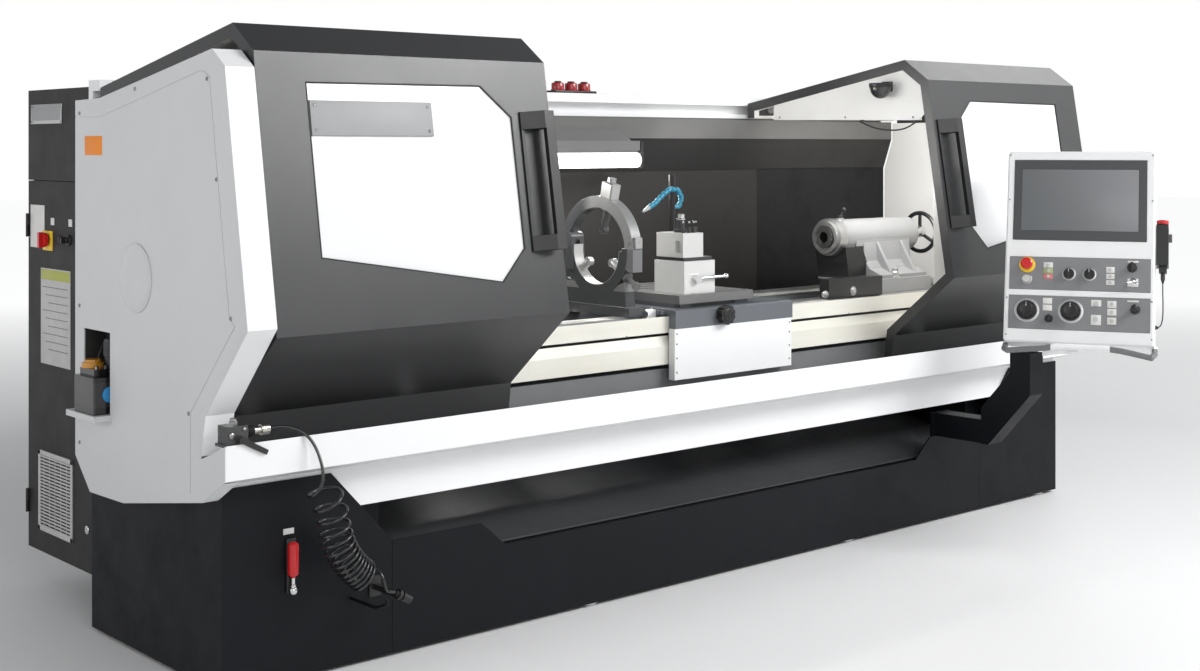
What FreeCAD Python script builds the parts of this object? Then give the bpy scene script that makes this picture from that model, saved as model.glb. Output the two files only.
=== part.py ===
import FreeCAD, Part
import math, os

os.makedirs("parts", exist_ok=True)

# ---------------------------------------------------------------- driving sizes (mm)
# Working frame: X along the spindle axis from the left end of the base, Y to the rear from
# the front of the base, Z up from the underside of the base. Every piece is moved by
# (DX, DY, DZ) on export, so that the origin is the middle of the footprint on the floor.
DX, DY, DZ = -1950.0, -300.21, 12.0

BASE_L = 4000.0        # length of the base
BASE_D = 832.0         # depth of the base
PED_TOP = 565.0        # top of the pedestals
PED_W = 552.0          # width of each pedestal
SILL = 250.0           # height of the middle front panel
AX_Y, AX_Z = 400.0, 1115.0     # spindle axis
WAY_Z = 888.0          # top of the bed ways
DOOR_L0, DOOR_L1 = 46.0, 1056.0      # left sliding door, open
DOOR_R0, DOOR_R1 = 2985.0, 3995.0    # right sliding door, open
SKIN = 4.0             # door skin
EDGE = 30.0            # width of the folded door edges
EDGE_D = 38.0          # and their depth
# door section in (Y, Z): rear lip, roof, fold, knee, sill
DOOR = [(872, 1611), (872, 1673), (25, 1829), (-88, 1748), (-213, 983), (76, 738), (89, 640)]
WIN = [(198, 1667), (799, 1671), (908, 1577), (910, 1182), (815, 1085), (201, 1184)]
MIRROR = DOOR_L0 + DOOR_R1           # windows are handed about the middle of the opening
PEN = (3280.0, -572.0, 1285.0)       # centre of the pendant's screen face
PEN_YAW, PEN_LEAN = -61.8, 15.0      # how the pendant faces the operator
POST = (3197.0, -394.0)              # swivel post of the pendant arm
SCREW_Y, SCREW_Z, SCREW_R = 218.0, 765.0, 16.0
MOT_Y, MOT_Z = 420.0, 300.0          # main motor axis
SPIN_PUL_R, MOT_PUL_R = 130.0, 80.0
CHUCK_R = 200.0
STEADY_X = (1690.0, 1750.0)
STEADY_RO, STEADY_RI = 165.0, 122.0
BOW_RO, BOW_RI = 196.0, 154.0
PIVOT = (550.0, 1155.0)              # steady rest hinge in (Y, Z)
CAB = (60.0, 965.0, 962.0, 1480.0, 122.0, 1679.0, 1372.0)   # cabinet x0 x1 y0 y1 z0 z1 seam
HOSE_D, COIL_D = 9.0, 100.0

V = FreeCAD.Vector
RUN = 0.05             # radial running clearance of shafts


# ---------------------------------------------------------------- helpers
def box(x0, x1, y0, y1, z0, z1):
    return Part.makeBox(x1 - x0, y1 - y0, z1 - z0, V(x0, y0, z0))


def prism(pts, vec):
    w = Part.makePolygon([V(*p) for p in pts] + [V(*pts[0])])
    return Part.Face(w).extrude(V(*vec))


def yz(poly, x0, x1):
    return prism([(x0, y, z) for y, z in poly], (x1 - x0, 0, 0))


def xz(poly, y0, y1):
    return prism([(x, y0, z) for x, z in poly], (0, y1 - y0, 0))


def xy(poly, z0, z1):
    return prism([(x, y, z0) for x, y in poly], (0, 0, z1 - z0))


def cyl(p, d, r, h):
    return Part.makeCylinder(r, h, V(*p), V(*d))


def cone(p, d, r1, r2, h):
    return Part.makeCone(r1, r2, h, V(*p), V(*d))


def fuse(a, *b):
    s = a
    for o in b:
        s = s.fuse(o)
    return s.removeSplitter()


def cut(a, *b):
    for o in b:
        a = a.cut(o)
    return a


def inset(line, d):
    """Offset an open line of (a, b) points by d to its left side, with mitred corners."""
    n = len(line)
    nor = []
    for i in range(n - 1):
        (a0, b0), (a1, b1) = line[i], line[i + 1]
        L = math.hypot(a1 - a0, b1 - b0)
        nor.append((-(b1 - b0) / L, (a1 - a0) / L))
    out = []
    for i in range(n):
        if i == 0:
            m = nor[0]; k = 1.0
        elif i == n - 1:
            m = nor[-1]; k = 1.0
        else:
            m = (nor[i - 1][0] + nor[i][0], nor[i - 1][1] + nor[i][1])
            k = 2.0 / (m[0] ** 2 + m[1] ** 2)
        out.append((line[i][0] + m[0] * d * k, line[i][1] + m[1] * d * k))
    return out


def band(line, d0, d1):
    """Closed section between two offsets of an open line."""
    return inset(line, d0) + list(reversed(inset(line, d1)))


def rod(points, r):
    """Round bar along straight runs, with a ball at each bend."""
    s = None
    for i in range(len(points) - 1):
        a, b = V(*points[i]), V(*points[i + 1])
        c = Part.makeCylinder(r, (b - a).Length, a, b - a)
        s = c if s is None else s.fuse(c)
        if i:
            s = s.fuse(Part.makeSphere(r * 1.04, a))
    return s


def arcs(points):
    """Straight runs joined by tangent arcs, as a wire; returns the wire and its arc radii."""
    P = [V(*p) for p in points]
    edges, radii, start = [], [], P[0]
    for i in range(1, len(P) - 1):
        a, b, c = P[i - 1], P[i], P[i + 1]
        u, w = (a - b), (c - b)
        la, lc = u.Length, w.Length
        u.normalize(); w.normalize()
        turn = math.pi - u.getAngle(w)
        t = 0.45 * min(la, lc)
        r = t / math.tan(turn / 2)
        radii.append(r)
        p1, p2 = b + u * t, b + w * t
        mid = (u + w); mid.normalize()
        pm = b + mid * (r / math.cos(turn / 2) - r)
        edges.append(Part.LineSegment(start, p1).toShape())
        edges.append(Part.Arc(p1, pm, p2).toShape())
        start = p2
    edges.append(Part.LineSegment(start, P[-1]).toShape())
    return Part.Wire(edges), radii


def tube(points, dia, name):
    w, radii = arcs(points)
    d = V(*points[1]) - V(*points[0])
    c = Part.Wire(Part.makeCircle(dia / 2, V(*points[0]), d))
    s = w.makePipeShell([c], True, True)
    print(name, "length %.0f mm, smallest bend radius %.0f mm" % (w.Length, min(radii)))
    return s


def ring(p, d, r0, r1, h):
    return cyl(p, d, r1, h).cut(cyl(p, d, r0, h))


def to_pendant(s):
    """From the pendant's own frame (x right, y into the panel, z up the face)."""
    s = s.copy()
    s.Placement = FreeCAD.Placement(V(*PEN), FreeCAD.Rotation(V(0, 0, 1), PEN_YAW)
                                    .multiply(FreeCAD.Rotation(V(1, 0, 0), -PEN_LEAN))).multiply(s.Placement)
    return s


FRONT_T = math.degrees(math.atan2(125.0, 765.0))     # lean of the door's front face


def to_front(s):
    """From a door's front face frame (y into the door, z up the face from the knee)."""
    s = s.copy()
    s.Placement = FreeCAD.Placement(V(0, -213, 983), FreeCAD.Rotation(V(1, 0, 0), -FRONT_T)).multiply(s.Placement)
    return s


nodes = {}

# ================================================================ base
# left pedestal, its front sheet cut away on the slant for the rail; the right one is its mirror
out_l = [(0, 0), (PED_W, 0), (PED_W, 333), (344, 556), (0, 556)]
sill = [(PED_W, 0), (BASE_L - PED_W, 0), (BASE_L - PED_W, 330), (3118, 330), (3024, SILL), (976, SILL), (882, 330), (PED_W, 330)]


def mir(s):
    return s.mirror(V(BASE_L / 2, 0, 0), V(1, 0, 0))


def pedestal():
    front = xz(out_l, 0, 4)
    side = box(0, 4, 4, 72, 0, 556)
    core = box(0, PED_W, 72, BASE_D, 0, PED_TOP)
    core = core.cut(box(8, PED_W - 8, 80, BASE_D - 8, 8, PED_TOP - 10))
    core = core.cut(box(44, 122, 270, 570, PED_TOP - 12, PED_TOP + 5))      # belt slot
    foot = box(4, PED_W, 4, 72, 0, 8)
    inner = box(PED_W - 6, PED_W, 4, 72, 8, 330)
    return fuse(front, side, core, foot, inner)


p_l = pedestal()
front = xz(sill, 0, 6)
for x in (PED_W, BASE_L - PED_W):       # fine joint line between pedestal and middle panel
    front = front.cut(box(x - 1.5, x + 1.5, -1, 1.5, -1, 340))
floor = box(PED_W, BASE_L - PED_W, 6, BASE_D - 6, 0, 8)
rear = box(PED_W, BASE_L - PED_W, BASE_D - 6, BASE_D, 0, PED_TOP)
lip = box(976, 3024, 6, 20, SILL - 4, SILL)
base = fuse(p_l, mir(p_l), front, floor, rear, lip)
# hook that carries the coiled air hose
hook = rod([(412, 2, 186), (412, -128, 186), (412, -178, 204), (412, -186, 221)], 5)
base = base.fuse(hook)
nodes["base_frame"] = base

# sloping chip pan between the pedestals
pan = [(26, 252), (38, 252), (780, 440), (826, 440), (826, 446), (779, 446), (36, 258), (26, 258)]
nodes["chip_pan"] = yz(pan, PED_W, BASE_L - PED_W)

# levelling pads under the bottom plate
feet = []
for x in (90, 1350, 2650, 3910):
    for y in (60, 772):
        f = fuse(cyl((x, y, -12), (0, 0, 1), 46, 8), cone((x, y, -4), (0, 0, 1), 30, 24, 4))
        feet.append(f)
nodes["levelling_feet"] = Part.makeCompound(feet)

# ================================================================ bed
sec_f = [(185, 565), (330, 565), (330, 640), (300, 680), (300, WAY_Z - 10), (290, WAY_Z), (212, WAY_Z),
         (200, WAY_Z - 12), (180, WAY_Z - 12), (180, 836), (262, 828), (262, 700), (185, 700)]
sec_r = [(520, 565), (665, 565), (665, WAY_Z), (560, WAY_Z), (545, WAY_Z - 10), (545, 680), (520, 640)]
BX0, BX1 = 124.0, 3892.0
bed = fuse(yz(sec_f, BX0, BX1), yz(sec_r, BX0, BX1))
for x in [BX0] + [550 + 420 * i for i in range(8)] + [BX1 - 40]:
    bed = bed.fuse(box(x, x + 40, 290, 560, 570, 850))
for x in (1010, 3846):                 # end bearings of the ball screw
    b = box(x, x + 44, 188, 262, 700, 822).fuse(box(x, x + (90 if x < 2000 else 44), 174, 188, 720, 778))
    bed = bed.fuse(b)
    bed = bed.cut(cyl((x - 1, SCREW_Y, SCREW_Z), (1, 0, 0), SCREW_R + RUN, 46))
bed = bed.removeSplitter()
nodes["bed"] = bed

# light steel covers on the front of the bed: way strip and ball screw guard
strip = box(1062, 3890, 172, 176, 828, 886)
guard_f = yz([(170, 717), (174, 717), (174, 780), (186, 816), (182, 817), (170, 782)], 1062, 3890)
nodes["bed_covers"] = Part.makeCompound([fuse(strip, box(1062, 3890, 176, 180, 838, 874)), guard_f])

# white front rail
rail_l = [(46, 448), (6, 448), (6, 566), (-106, 599), (-106, 694), (32, 640), (46, 634)]
rail = fuse(yz(band(rail_l, -4, 0), -44, 3990), yz(rail_l, 3986, 3990))
rail = rail.cut(box(-60, 8, -20, 60, 440, 566))
# its brackets on the pedestals and the bed, and the track that the doors run on
rail = rail.fuse(box(46, 3990, 94, 110, 604, 640))
for x in (60, 3800):
    rail = rail.fuse(box(x, x + 140, 9, 72, 470, 540))
for x in (150, 700, 1400, 2540, 3240, 3780):
    rail = rail.fuse(yz([(10, 590), (185, 590), (185, 625), (60, 625), (46, 634), (32, 640), (10, 648.6)], x, x + 60))
rail = rail.removeSplitter()
nodes["front_rail"] = rail

# ================================================================ headstock, spindle and drive
hs = box(130, 820, 175, 660, WAY_Z + 0.0, 1335)
hs = hs.makeChamfer(14, [e for e in hs.Edges if e.BoundBox.XLength > 600 and e.BoundBox.ZMin > 1300])
hs = hs.cut(box(165, 785, 215, 620, WAY_Z + 35, 1300))
for x, l in ((130, 40), (780, 46)):
    hs = hs.fuse(ring((x, AX_Y, AX_Z), (1, 0, 0), 70, 105, l))
hs = hs.cut(cyl((100, AX_Y, AX_Z), (1, 0, 0), 60 + RUN, 760))
nodes["headstock"] = hs

sp = fuse(cyl((0, AX_Y, AX_Z), (1, 0, 0), 60, 846), cyl((826.5, AX_Y, AX_Z), (1, 0, 0), 84, 49.5),
          cyl((62, AX_Y, AX_Z), (1, 0, 0), SPIN_PUL_R, 42))
sp = sp.cut(cyl((-1, AX_Y, AX_Z), (1, 0, 0), 40, 900))
nodes["spindle"] = sp

ch = fuse(cyl((876, AX_Y, AX_Z), (1, 0, 0), CHUCK_R, 118))
ch = ch.makeChamfer(5, [e for e in ch.Edges if len(e.Vertexes) == 1 and abs(e.Length - 2 * math.pi * CHUCK_R) < 1])
ch = ch.cut(cyl((870, AX_Y, AX_Z), (1, 0, 0), 55, 140))
for k in range(3):
    a = 90 + 120 * k
    j = fuse(box(994, 1040, -24, 24, 70, 190), box(1040, 1066, -24, 24, 70, 130))
    j.Placement = FreeCAD.Placement(V(0, AX_Y, AX_Z), FreeCAD.Rotation(V(1, 0, 0), a))
    ch = ch.fuse(j)
nodes["chuck"] = ch

mot = fuse(cyl((132, MOT_Y, MOT_Z), (1, 0, 0), 125, 330), cyl((124, MOT_Y, MOT_Z), (1, 0, 0), 140, 14),
           box(150, 440, MOT_Y - 105, MOT_Y + 105, 8, 200))
mot = mot.cut(cyl((120, MOT_Y, MOT_Z), (1, 0, 0), 24 + RUN, 300))
nodes["drive_motor"] = mot
rot = fuse(cyl((54, MOT_Y, MOT_Z), (1, 0, 0), 24, 340), cyl((62, MOT_Y, MOT_Z), (1, 0, 0), MOT_PUL_R, 42))
nodes["motor_rotor"] = rot


def loop(c1, r1, c2, r2):
    """Outline of a belt run round two pulleys, in (Y, Z)."""
    dy, dz = c2[0] - c1[0], c2[1] - c1[1]
    L = math.hypot(dy, dz)
    b = math.atan2(dz, dy)
    a = math.acos((r1 - r2) / L)
    pt = lambda c, r, t: V(0, c[0] + r * math.cos(t), c[1] + r * math.sin(t))
    e = [Part.LineSegment(pt(c1, r1, b + a), pt(c2, r2, b + a)).toShape(),
         Part.Arc(pt(c2, r2, b + a), pt(c2, r2, b), pt(c2, r2, b - a)).toShape(),
         Part.LineSegment(pt(c2, r2, b - a), pt(c1, r1, b - a)).toShape(),
         Part.Arc(pt(c1, r1, b - a), pt(c1, r1, b + math.pi), pt(c1, r1, b + a)).toShape()]
    return Part.Face(Part.Wire(e))


c1, c2 = (AX_Y, AX_Z), (MOT_Y, MOT_Z)
belt = loop(c1, SPIN_PUL_R + 8.4, c2, MOT_PUL_R + 8.4).cut(loop(c1, SPIN_PUL_R + 0.4, c2, MOT_PUL_R + 0.4))
belt = belt.extrude(V(36, 0, 0))
belt.translate(V(65, 0, 0))
nodes["drive_belt"] = belt

# ================================================================ left end cover
cov = [(845, 538), (845, 1630), (670, 1634), (-33, 1751), (-104, 1701), (-226, 1009), (5, 760), (32, 640),
       (-106, 690), (-106, 599), (21, 524), (507, 443), (738, 439)]
plate = yz(cov, -48, -44)
rim_line = [(845, 538), (845, 1630), (670, 1634), (-33, 1751), (-104, 1701), (-226, 1009), (5, 760), (30, 648)]
rim = yz(band(rim_line, 0, 4), -48, 40).cut(box(-1, 60, -20, 860, 400, PED_TOP + 1))
low = yz(band([(-84, 586), (21, 524), (507, 443), (738, 439), (845, 538)], 0, 4), -48, 0)
cover = fuse(plate, rim, low)
cover = cover.fuse(cyl((-51, 421, 1108), (1, 0, 0), 100, 4))
# inspection panel seam
seam = [(847, 1580), (663, 1577), (20, 1696), (-19, 1678), (-129, 1036), (-160, 1016), (89, 759), (89, 540)]
cover = cover.cut(yz(band(seam, -1.2, 1.2), -49, -46.4))
# niche for the lubricator and its shelf
cover = cover.cut(box(-60, 10, 597, 781, 690, 934))
niche = box(-48, 26, 594, 784, 687, 937).cut(box(-60, 23, 597, 781, 690, 934))
cover = fuse(cover, niche, box(-100, -44, 588, 792, 672, 690))
nodes["end_cover"] = cover

# pump and reservoir of the way lubrication, with its filler cap
lub = fuse(box(-92, 18, 612, 752, 690.0, 800), box(-78, 6, 640, 740, 800, 822))
lub = lub.makeFillet(5, [e for e in lub.Edges if e.BoundBox.ZLength > 90])
cap = fuse(cyl((-52, 708, 822), (0, 0, 1), 33, 15), cyl((-52, 708, 837), (0, 0, 1), 24, 9))
nodes["lubricator"] = lub.fuse(cap)

# right end plate inside the line of the right door
inner = inset(DOOR, 52)
rc = [(840, PED_TOP)] + [(min(y, 845), z) for y, z in inner[1:-1]] + [(142, 700), (142, PED_TOP)]
nodes["right_end_cover"] = yz(rc, 3946, 3950)

# ================================================================ rear wall, hood, beam, lamp
wall = fuse(box(46, 3896, 862, 868, 572, 1390), box(46, 3896, 780, 868, 565, 572))
hood = yz([(815, 1520), (862, 1386), (866, 1386), (866, 1392), (819, 1522), (819, 1596), (881.5, 1596), (881.5, 1608), (877.5, 1608), (877.5, 1600), (815, 1600)],
          1064, 3896)
nodes["back_wall"] = Part.makeCompound([wall, hood])
beam = yz([(880, 1608), (960, 1608), (960, 1698), (880, 1698), (880, 1663), (930, 1663), (930, 1625), (880, 1625)], 46, 3995)
cols = [box(x, x + 70, 882, 950, 470, 1608) for x in (52, 3830)]
cols += [box(x, x + 70, BASE_D, 882, 470, 560) for x in (52, 3830)]
beam = fuse(beam, *cols)
nodes["roof_beam"] = beam

lamp_y, lamp_z = 725.0, 1434.0
hous = yz([(700, 1472), (762, 1472), (762, 1500), (815, 1540), (815, 1560), (750, 1510), (700, 1510)], 1150, 2190)
tube_l = cyl((1160, lamp_y, lamp_z), (1, 0, 0), 29, 1038)
ends = [box(x, x + 14, 700, 758, 1404, 1506) for x in (1150, 2196)]
lamp = fuse(hous, tube_l, *ends)
lamp = fuse(lamp, box(1164, 2196, 716, 740, 1460, 1474))
nodes["lamp"] = lamp

# ================================================================ inner guards
gl = [(-50, 1586), (-50, 905), (130, 752), (130, 680)]
g1 = yz(band(gl, 0, 3), 66, 1066)
bulk = yz([(-47, 906), (133, 754), (133, WAY_Z + 8), (800, WAY_Z + 8), (800, 1552), (700, 1560), (-47, 1560)], 866, 870)
bulk = bulk.cut(cyl((860, AX_Y, AX_Z), (1, 0, 0), 92, 20))
g1 = fuse(g1, bulk, yz([(-47, 1556), (800, 1556), (800, 1560), (-47, 1560)], 66, 870))
for y0 in (176, 560):                  # feet of the bulkhead on the bed ways
    g1 = g1.fuse(box(866, 886, y0 + 40, y0 + 90, WAY_Z, WAY_Z + 8))
nodes["headstock_guard"] = g1
g2 = yz(band(gl, 0, 3), 3076, 3904)
endw = yz([(-47, 1596), (-47, 906), (133, 754), (133, 600), (858, 600), (858, 1380), (812, 1516), (812, 1596)], 3900, 3904)
g2 = fuse(g2, endw, box(3904, 3946, 300, 340, 700, 1300), box(3904, 3946, 600, 640, 700, 1300))
nodes["tail_guard"] = g2


# ================================================================ sliding doors
def door(x0, x1, win, right):
    s = yz(band(DOOR, 0, SKIN), x0, x1)
    fr = fuse(yz(band(DOOR, 0, EDGE_D), x0, x0 + EDGE), yz(band(DOOR, 0, EDGE_D), x1 - EDGE, x1))
    s = fuse(s, fr)
    s = s.cut(xz(win, -260, -40))
    # triangular web and track bar under the roof at the end that meets the other door
    web = yz([(723, 1600), (-38, 1591), (-76, 1620), (-62, 1745), (28, 1796), (723, 1668)], 0, 4)
    bar = yz([(723, 1600), (-38, 1591), (-38, 1614), (723, 1637)], 0, 26)
    w = fuse(web, bar)
    if right:
        w.translate(V(x0 + 4, 0, 0))
    else:
        w = w.mirror(V(0, 0, 0), V(1, 0, 0))
        w.translate(V(x1 - 4, 0, 0))
    return fuse(s, w)


def pane(win):
    cx = sum(p[0] for p in win) / len(win)
    cz = sum(p[1] for p in win) / len(win)
    big = []
    for x, z in win:
        dx, dz = x - cx, z - cz
        L = math.hypot(dx, dz)
        big.append((x + dx / L * 18, z + dz / L * 18))
    slab = yz(band(DOOR[3:5], SKIN, SKIN + 5), win[0][0] - 900, win[0][0] + 900)
    return xz(big, -260, -40).common(slab)


win_r = [(MIRROR - x, z) for x, z in WIN]
nodes["left_door"] = door(DOOR_L0, DOOR_L1, WIN, False)
nodes["left_window"] = pane(WIN)
nodes["right_door"] = door(DOOR_R0, DOOR_R1, win_r, True)
nodes["right_window"] = pane(win_r)


def handle(xa, xb):
    """Bow pull: two end blocks and an upright bar that stands off the face."""
    s0, s1 = (1172 - 983) / 0.9869, (1592 - 983) / 0.9869
    top = xy([(xa, 0), (xa, -6), (xb - 36, -44), (xb, -44), (xb, -26), (xb - 28, 0)], s1 - 54, s1)
    bot = xy([(xa, 0), (xa, -6), (xb - 36, -44), (xb, -44), (xb, -26), (xb - 28, 0)], s0, s0 + 46)
    bar = box(xb - 34, xb, -44, -28, s0, s1)
    return to_front(fuse(top, bot, bar, box(xa, xa + 12, -6, 0, s0, s1)))


nodes["left_handle"] = handle(936, 1038)
nodes["right_handle"] = handle(3006, 3112)

# ================================================================ carriage
SX0, SX1 = 1840.0, 2452.0
KN_X, KN_Z = 2076.0, 880.0             # hand knob on the front of the carriage
sad = fuse(box(SX0, SX1, 166, 690, WAY_Z + 0.5, 909), yz([(135, 843), (166, 843), (166, 909), (141, 909), (135, 903)], SX0, SX1),
           box(SX0, SX1, 668, 690, 850, WAY_Z + 1))
# cross ways of the saddle
sad = sad.fuse(box(1925, 1975, 200, 660, 909, 922)).fuse(box(2205, 2255, 200, 660, 909, 922))
sad = sad.fuse(fuse(box(SX0 - 20, SX0, 190, 240, WAY_Z + 1, 904), box(SX0 - 20, SX0, 560, 640, WAY_Z + 1, 904)))
sad = sad.fuse(cyl((KN_X, 135, KN_Z), (0, -1, 0), 26, 4)).cut(cyl((KN_X, 140, KN_Z), (0, -1, 0), 8 + RUN, 20))
nodes["saddle"] = sad.removeSplitter()

ap = box(1835, 2445, 135, 165, 663, 843).cut(box(1839, 2441, 139, 166, 667, 842.4))
ap = fuse(ap, box(1839, 2441, 161, 165, 667, 843), box(2050, 2230, 150, 250, 703, 711), box(2050, 2230, 192, 246, 711, 812),
          box(2050, 2230, 192, 246, 812, 818))
ap = ap.cut(cyl((2040, SCREW_Y, SCREW_Z), (1, 0, 0), SCREW_R + 0.1, 200))
ap = ap.fuse(box(1839, 2441, 139, 165, 838.5, 843)).removeSplitter()
nodes["apron"] = ap

kn = fuse(cyl((KN_X, 130.5, KN_Z), (0, -1, 0), 36, 26), cyl((KN_X, 139, KN_Z), (0, -1, 0), 8, 10))
for i in range(10):
    a = math.radians(36 * i)
    kn = kn.cut(cyl((KN_X + 39 * math.cos(a), 140, KN_Z + 39 * math.sin(a)), (0, -1, 0), 7, 60))
nodes["saddle_knob"] = kn

scr = cyl((1004, SCREW_Y, SCREW_Z), (1, 0, 0), SCREW_R, 2888)
nodes["ball_screw"] = scr

cs = box(1900, 2280, 178, 660, 922.4, 955)
for x0 in (1900, 2256.5, 1976.5):
    w = {1900: 23.5, 2256.5: 23.5, 1976.5: 227}[x0]
    cs = cs.fuse(box(x0, x0 + w, 205, 640, 909.4, 923))
nodes["cross_slide"] = cs.removeSplitter()

tb = fuse(box(1945, 2101, 200, 356, 955, 1073), box(1953, 2093, 208, 348, 1073, 1086),
          box(1945, 2047, 206, 345, 1086, 1174), cyl((2000, 275, 1174), (0, 0, 1), 26, 12),
          Part.makeCylinder(14, 34, V(2000, 275, 1186), V(0, 0, 1)))
for i, (x, y) in enumerate(((1965, 226), (1991, 222), (2014, 222), (2034, 232))):
    tb = tb.fuse(cyl((x, y, 1174), (0, 0, 1), 7, 20))
tb = tb.cut(box(1940, 1963, 214, 246, 1104, 1146))
tb = tb.cut(cyl((2003, 206, 1010), (0, -1, 0), 10 + RUN, 20)).cut(cyl((2003, 230, 1010), (0, -1, 0), 10 + RUN, 32))
nodes["tool_holder"] = tb

lv = fuse(cyl((2003, 228, 1010), (0, -1, 0), 10, 46), cyl((2003, 199.5, 1010), (0, -1, 0), 17, 18),
          rod([(2003, 190, 1010), (2140, 180, 1014)], 6), Part.makeSphere(9.5, V(2140, 180, 1014)))
nodes["clamp_lever"] = lv

post = fuse(box(2030, 2094, 362, 420, 955, 967), cyl((2062, 386, 967), (0, 0, 1), 12, 415))
hz = [(2062, 386, 1262), (2094, 382, 1263), (2104, 378, 1296), (2082, 375, 1326), (2040, 373, 1329), (1999, 371, 1307),
      (1964, 370, 1280), (1930, 369, 1264)]
hz_s = None
for i in range(1, len(hz)):            # jointed segments: thin runs with wider collars
    a, b = V(*hz[i - 1]), V(*hz[i])
    d = b - a
    L = d.Length
    n0 = 3.0 if i > 1 else 0.0
    run = Part.makeCylinder(8, L + n0 + 3.0, a - d * (n0 / L), d)
    hz_s = run if hz_s is None else hz_s.fuse(run)
    if i > 1:
        n = max(1, int(L / 17))
        for k in range(n):
            t = (k + 0.5) / n * L
            hz_s = hz_s.fuse(Part.makeCylinder(10.5, 7, a + d * ((t - 3.5) / L), d))
d = V(*hz[-1]) - V(*hz[-2])
hz_s = hz_s.fuse(Part.makeCone(9.5, 4, 36, V(*hz[-1]), d))
nodes["coolant_post"] = fuse(post, hz_s)

# ================================================================ steady rest
X0, X1 = STEADY_X


def sector(a0, a1, r, x0, x1):
    """Wedge of a disc about the spindle axis, from a0 to a1 degrees, measured from +Y towards +Z."""
    s = Part.makeCylinder(r, x1 - x0, V(x0, AX_Y, AX_Z), V(1, 0, 0), a1 - a0)
    s.rotate(V(0, AX_Y, AX_Z), V(1, 0, 0), 0)
    return s


full = ring((X0 + 8, AX_Y, AX_Z), (1, 0, 0), STEADY_RI, STEADY_RO, X1 - X0 - 16)
cutline = [(AX_Y + 400, AX_Z + 40), (AX_Y, AX_Z + 6), (AX_Y - 400, AX_Z - 6), (AX_Y - 400, AX_Z - 500), (AX_Y + 400, AX_Z - 500)]
lower = full.common(yz(cutline, X0, X1))
lower = lower.fuse(yz([(203, 1046), (230, 1046), (250, 1062), (268, 1100), (262, 1128), (203, 1128)], X0 + 8, X1 - 8)
                   .cut(cyl((X0, AX_Y, AX_Z), (1, 0, 0), STEADY_RI + 2, 70)))
# the swinging bow has a larger radius than the ring below it
bow = ring((X0 + 8, AX_Y, AX_Z), (1, 0, 0), BOW_RI, BOW_RO, X1 - X0 - 16)
upper = bow.common(yz([(100, 1128.6), (400, 1128.6), (500, 1164), (700, 1164), (700, 1500), (100, 1500)], X0, X1))


def boss(y, z, r, x0, x1):
    return cyl((x0, y, z), (1, 0, 0), r, x1 - x0)


arm_clear = boss(PIVOT[0], PIVOT[1], 26, X0 + 20, X1 - 20)
lower = lower.cut(boss(PIVOT[0], PIVOT[1], 26, X0 - 1, X1 + 1))
upper = upper.cut(boss(PIVOT[0], PIVOT[1], 26, X0 - 1, X1 + 1))
ears = fuse(boss(PIVOT[0], PIVOT[1], 22, X0, X0 + 19), boss(PIVOT[0], PIVOT[1], 22, X1 - 19, X1))
strut = yz([(528, 1155), (572, 1155), (560, 1040), (520, 1040)], X0, X0 + 19)
strut2 = yz([(528, 1155), (572, 1155), (560, 1040), (520, 1040)], X1 - 19, X1)
foot_s = fuse(box(X0 - 10, X1 + 10, 205, 640, WAY_Z, WAY_Z + 34),
              yz([(240, WAY_Z + 34), (600, WAY_Z + 34), (560, 1010), (470, 975), (330, 975), (250, 1010)], X0 + 8, X1 - 8))
foot_s = foot_s.cut(cyl((X0 - 5, AX_Y, AX_Z), (1, 0, 0), STEADY_RI + 10, 80))
lower = fuse(lower, ears, strut, strut2, foot_s)
pin = boss(PIVOT[0], PIVOT[1], 9, X0, X1)
lower = fuse(lower, pin)


def finger(deg, r0, r1, body_r):
    """Adjustable jaw with its roller tip, along a radius."""
    a = math.radians(deg)
    d = (0, math.cos(a), math.sin(a))
    p = lambda r: (0.5 * (X0 + X1), AX_Y + r * d[1], AX_Z + r * d[2])
    s = fuse(cyl(p(r0 + 14), d, 14, body_r - r0 - 14), cyl(p(body_r), d, 20, 34), cyl(p(body_r + 34), d, 9, r1 - body_r - 34))
    s = s.fuse(cyl((0.5 * (X0 + X1) - 11, AX_Y + (r0 + 14) * d[1], AX_Z + (r0 + 14) * d[2]), (1, 0, 0), 15, 22))
    return s.fuse(cyl(p(r1 - 14), d, 15, 14))


low_f = fuse(finger(212, 66, 230, 140), finger(325, 62, 230, 140))
nodes["steady_base"] = fuse(lower, low_f)
lug = boss(PIVOT[0], PIVOT[1], 22, X0 + 19.6, X1 - 19.6)
neck = yz([(544, 1160), (572, 1160), (592, 1200), (566, 1236), (528, 1206)], X0 + 19.6, X1 - 19.6)
post_s = box(X0 + 8, X1 - 8, AX_Y - 30, AX_Y + 30, AX_Z + BOW_RI + 4, AX_Z + 248)
post_s = post_s.makeFillet(7, [e for e in post_s.Edges if e.BoundBox.ZLength > 60])
post_s.rotate(V(0, AX_Y, AX_Z), V(1, 0, 0), 14)
upper = fuse(upper, lug, neck, finger(104, 62, 268, 150), post_s)
upper = upper.cut(boss(PIVOT[0], PIVOT[1], 9 + RUN, X0 - 5, X1 + 5))
upper = upper.fuse(box(X0 + 14, X1 - 14, 196, 210, 1130, 1168))
nodes["steady_arm"] = upper

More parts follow.
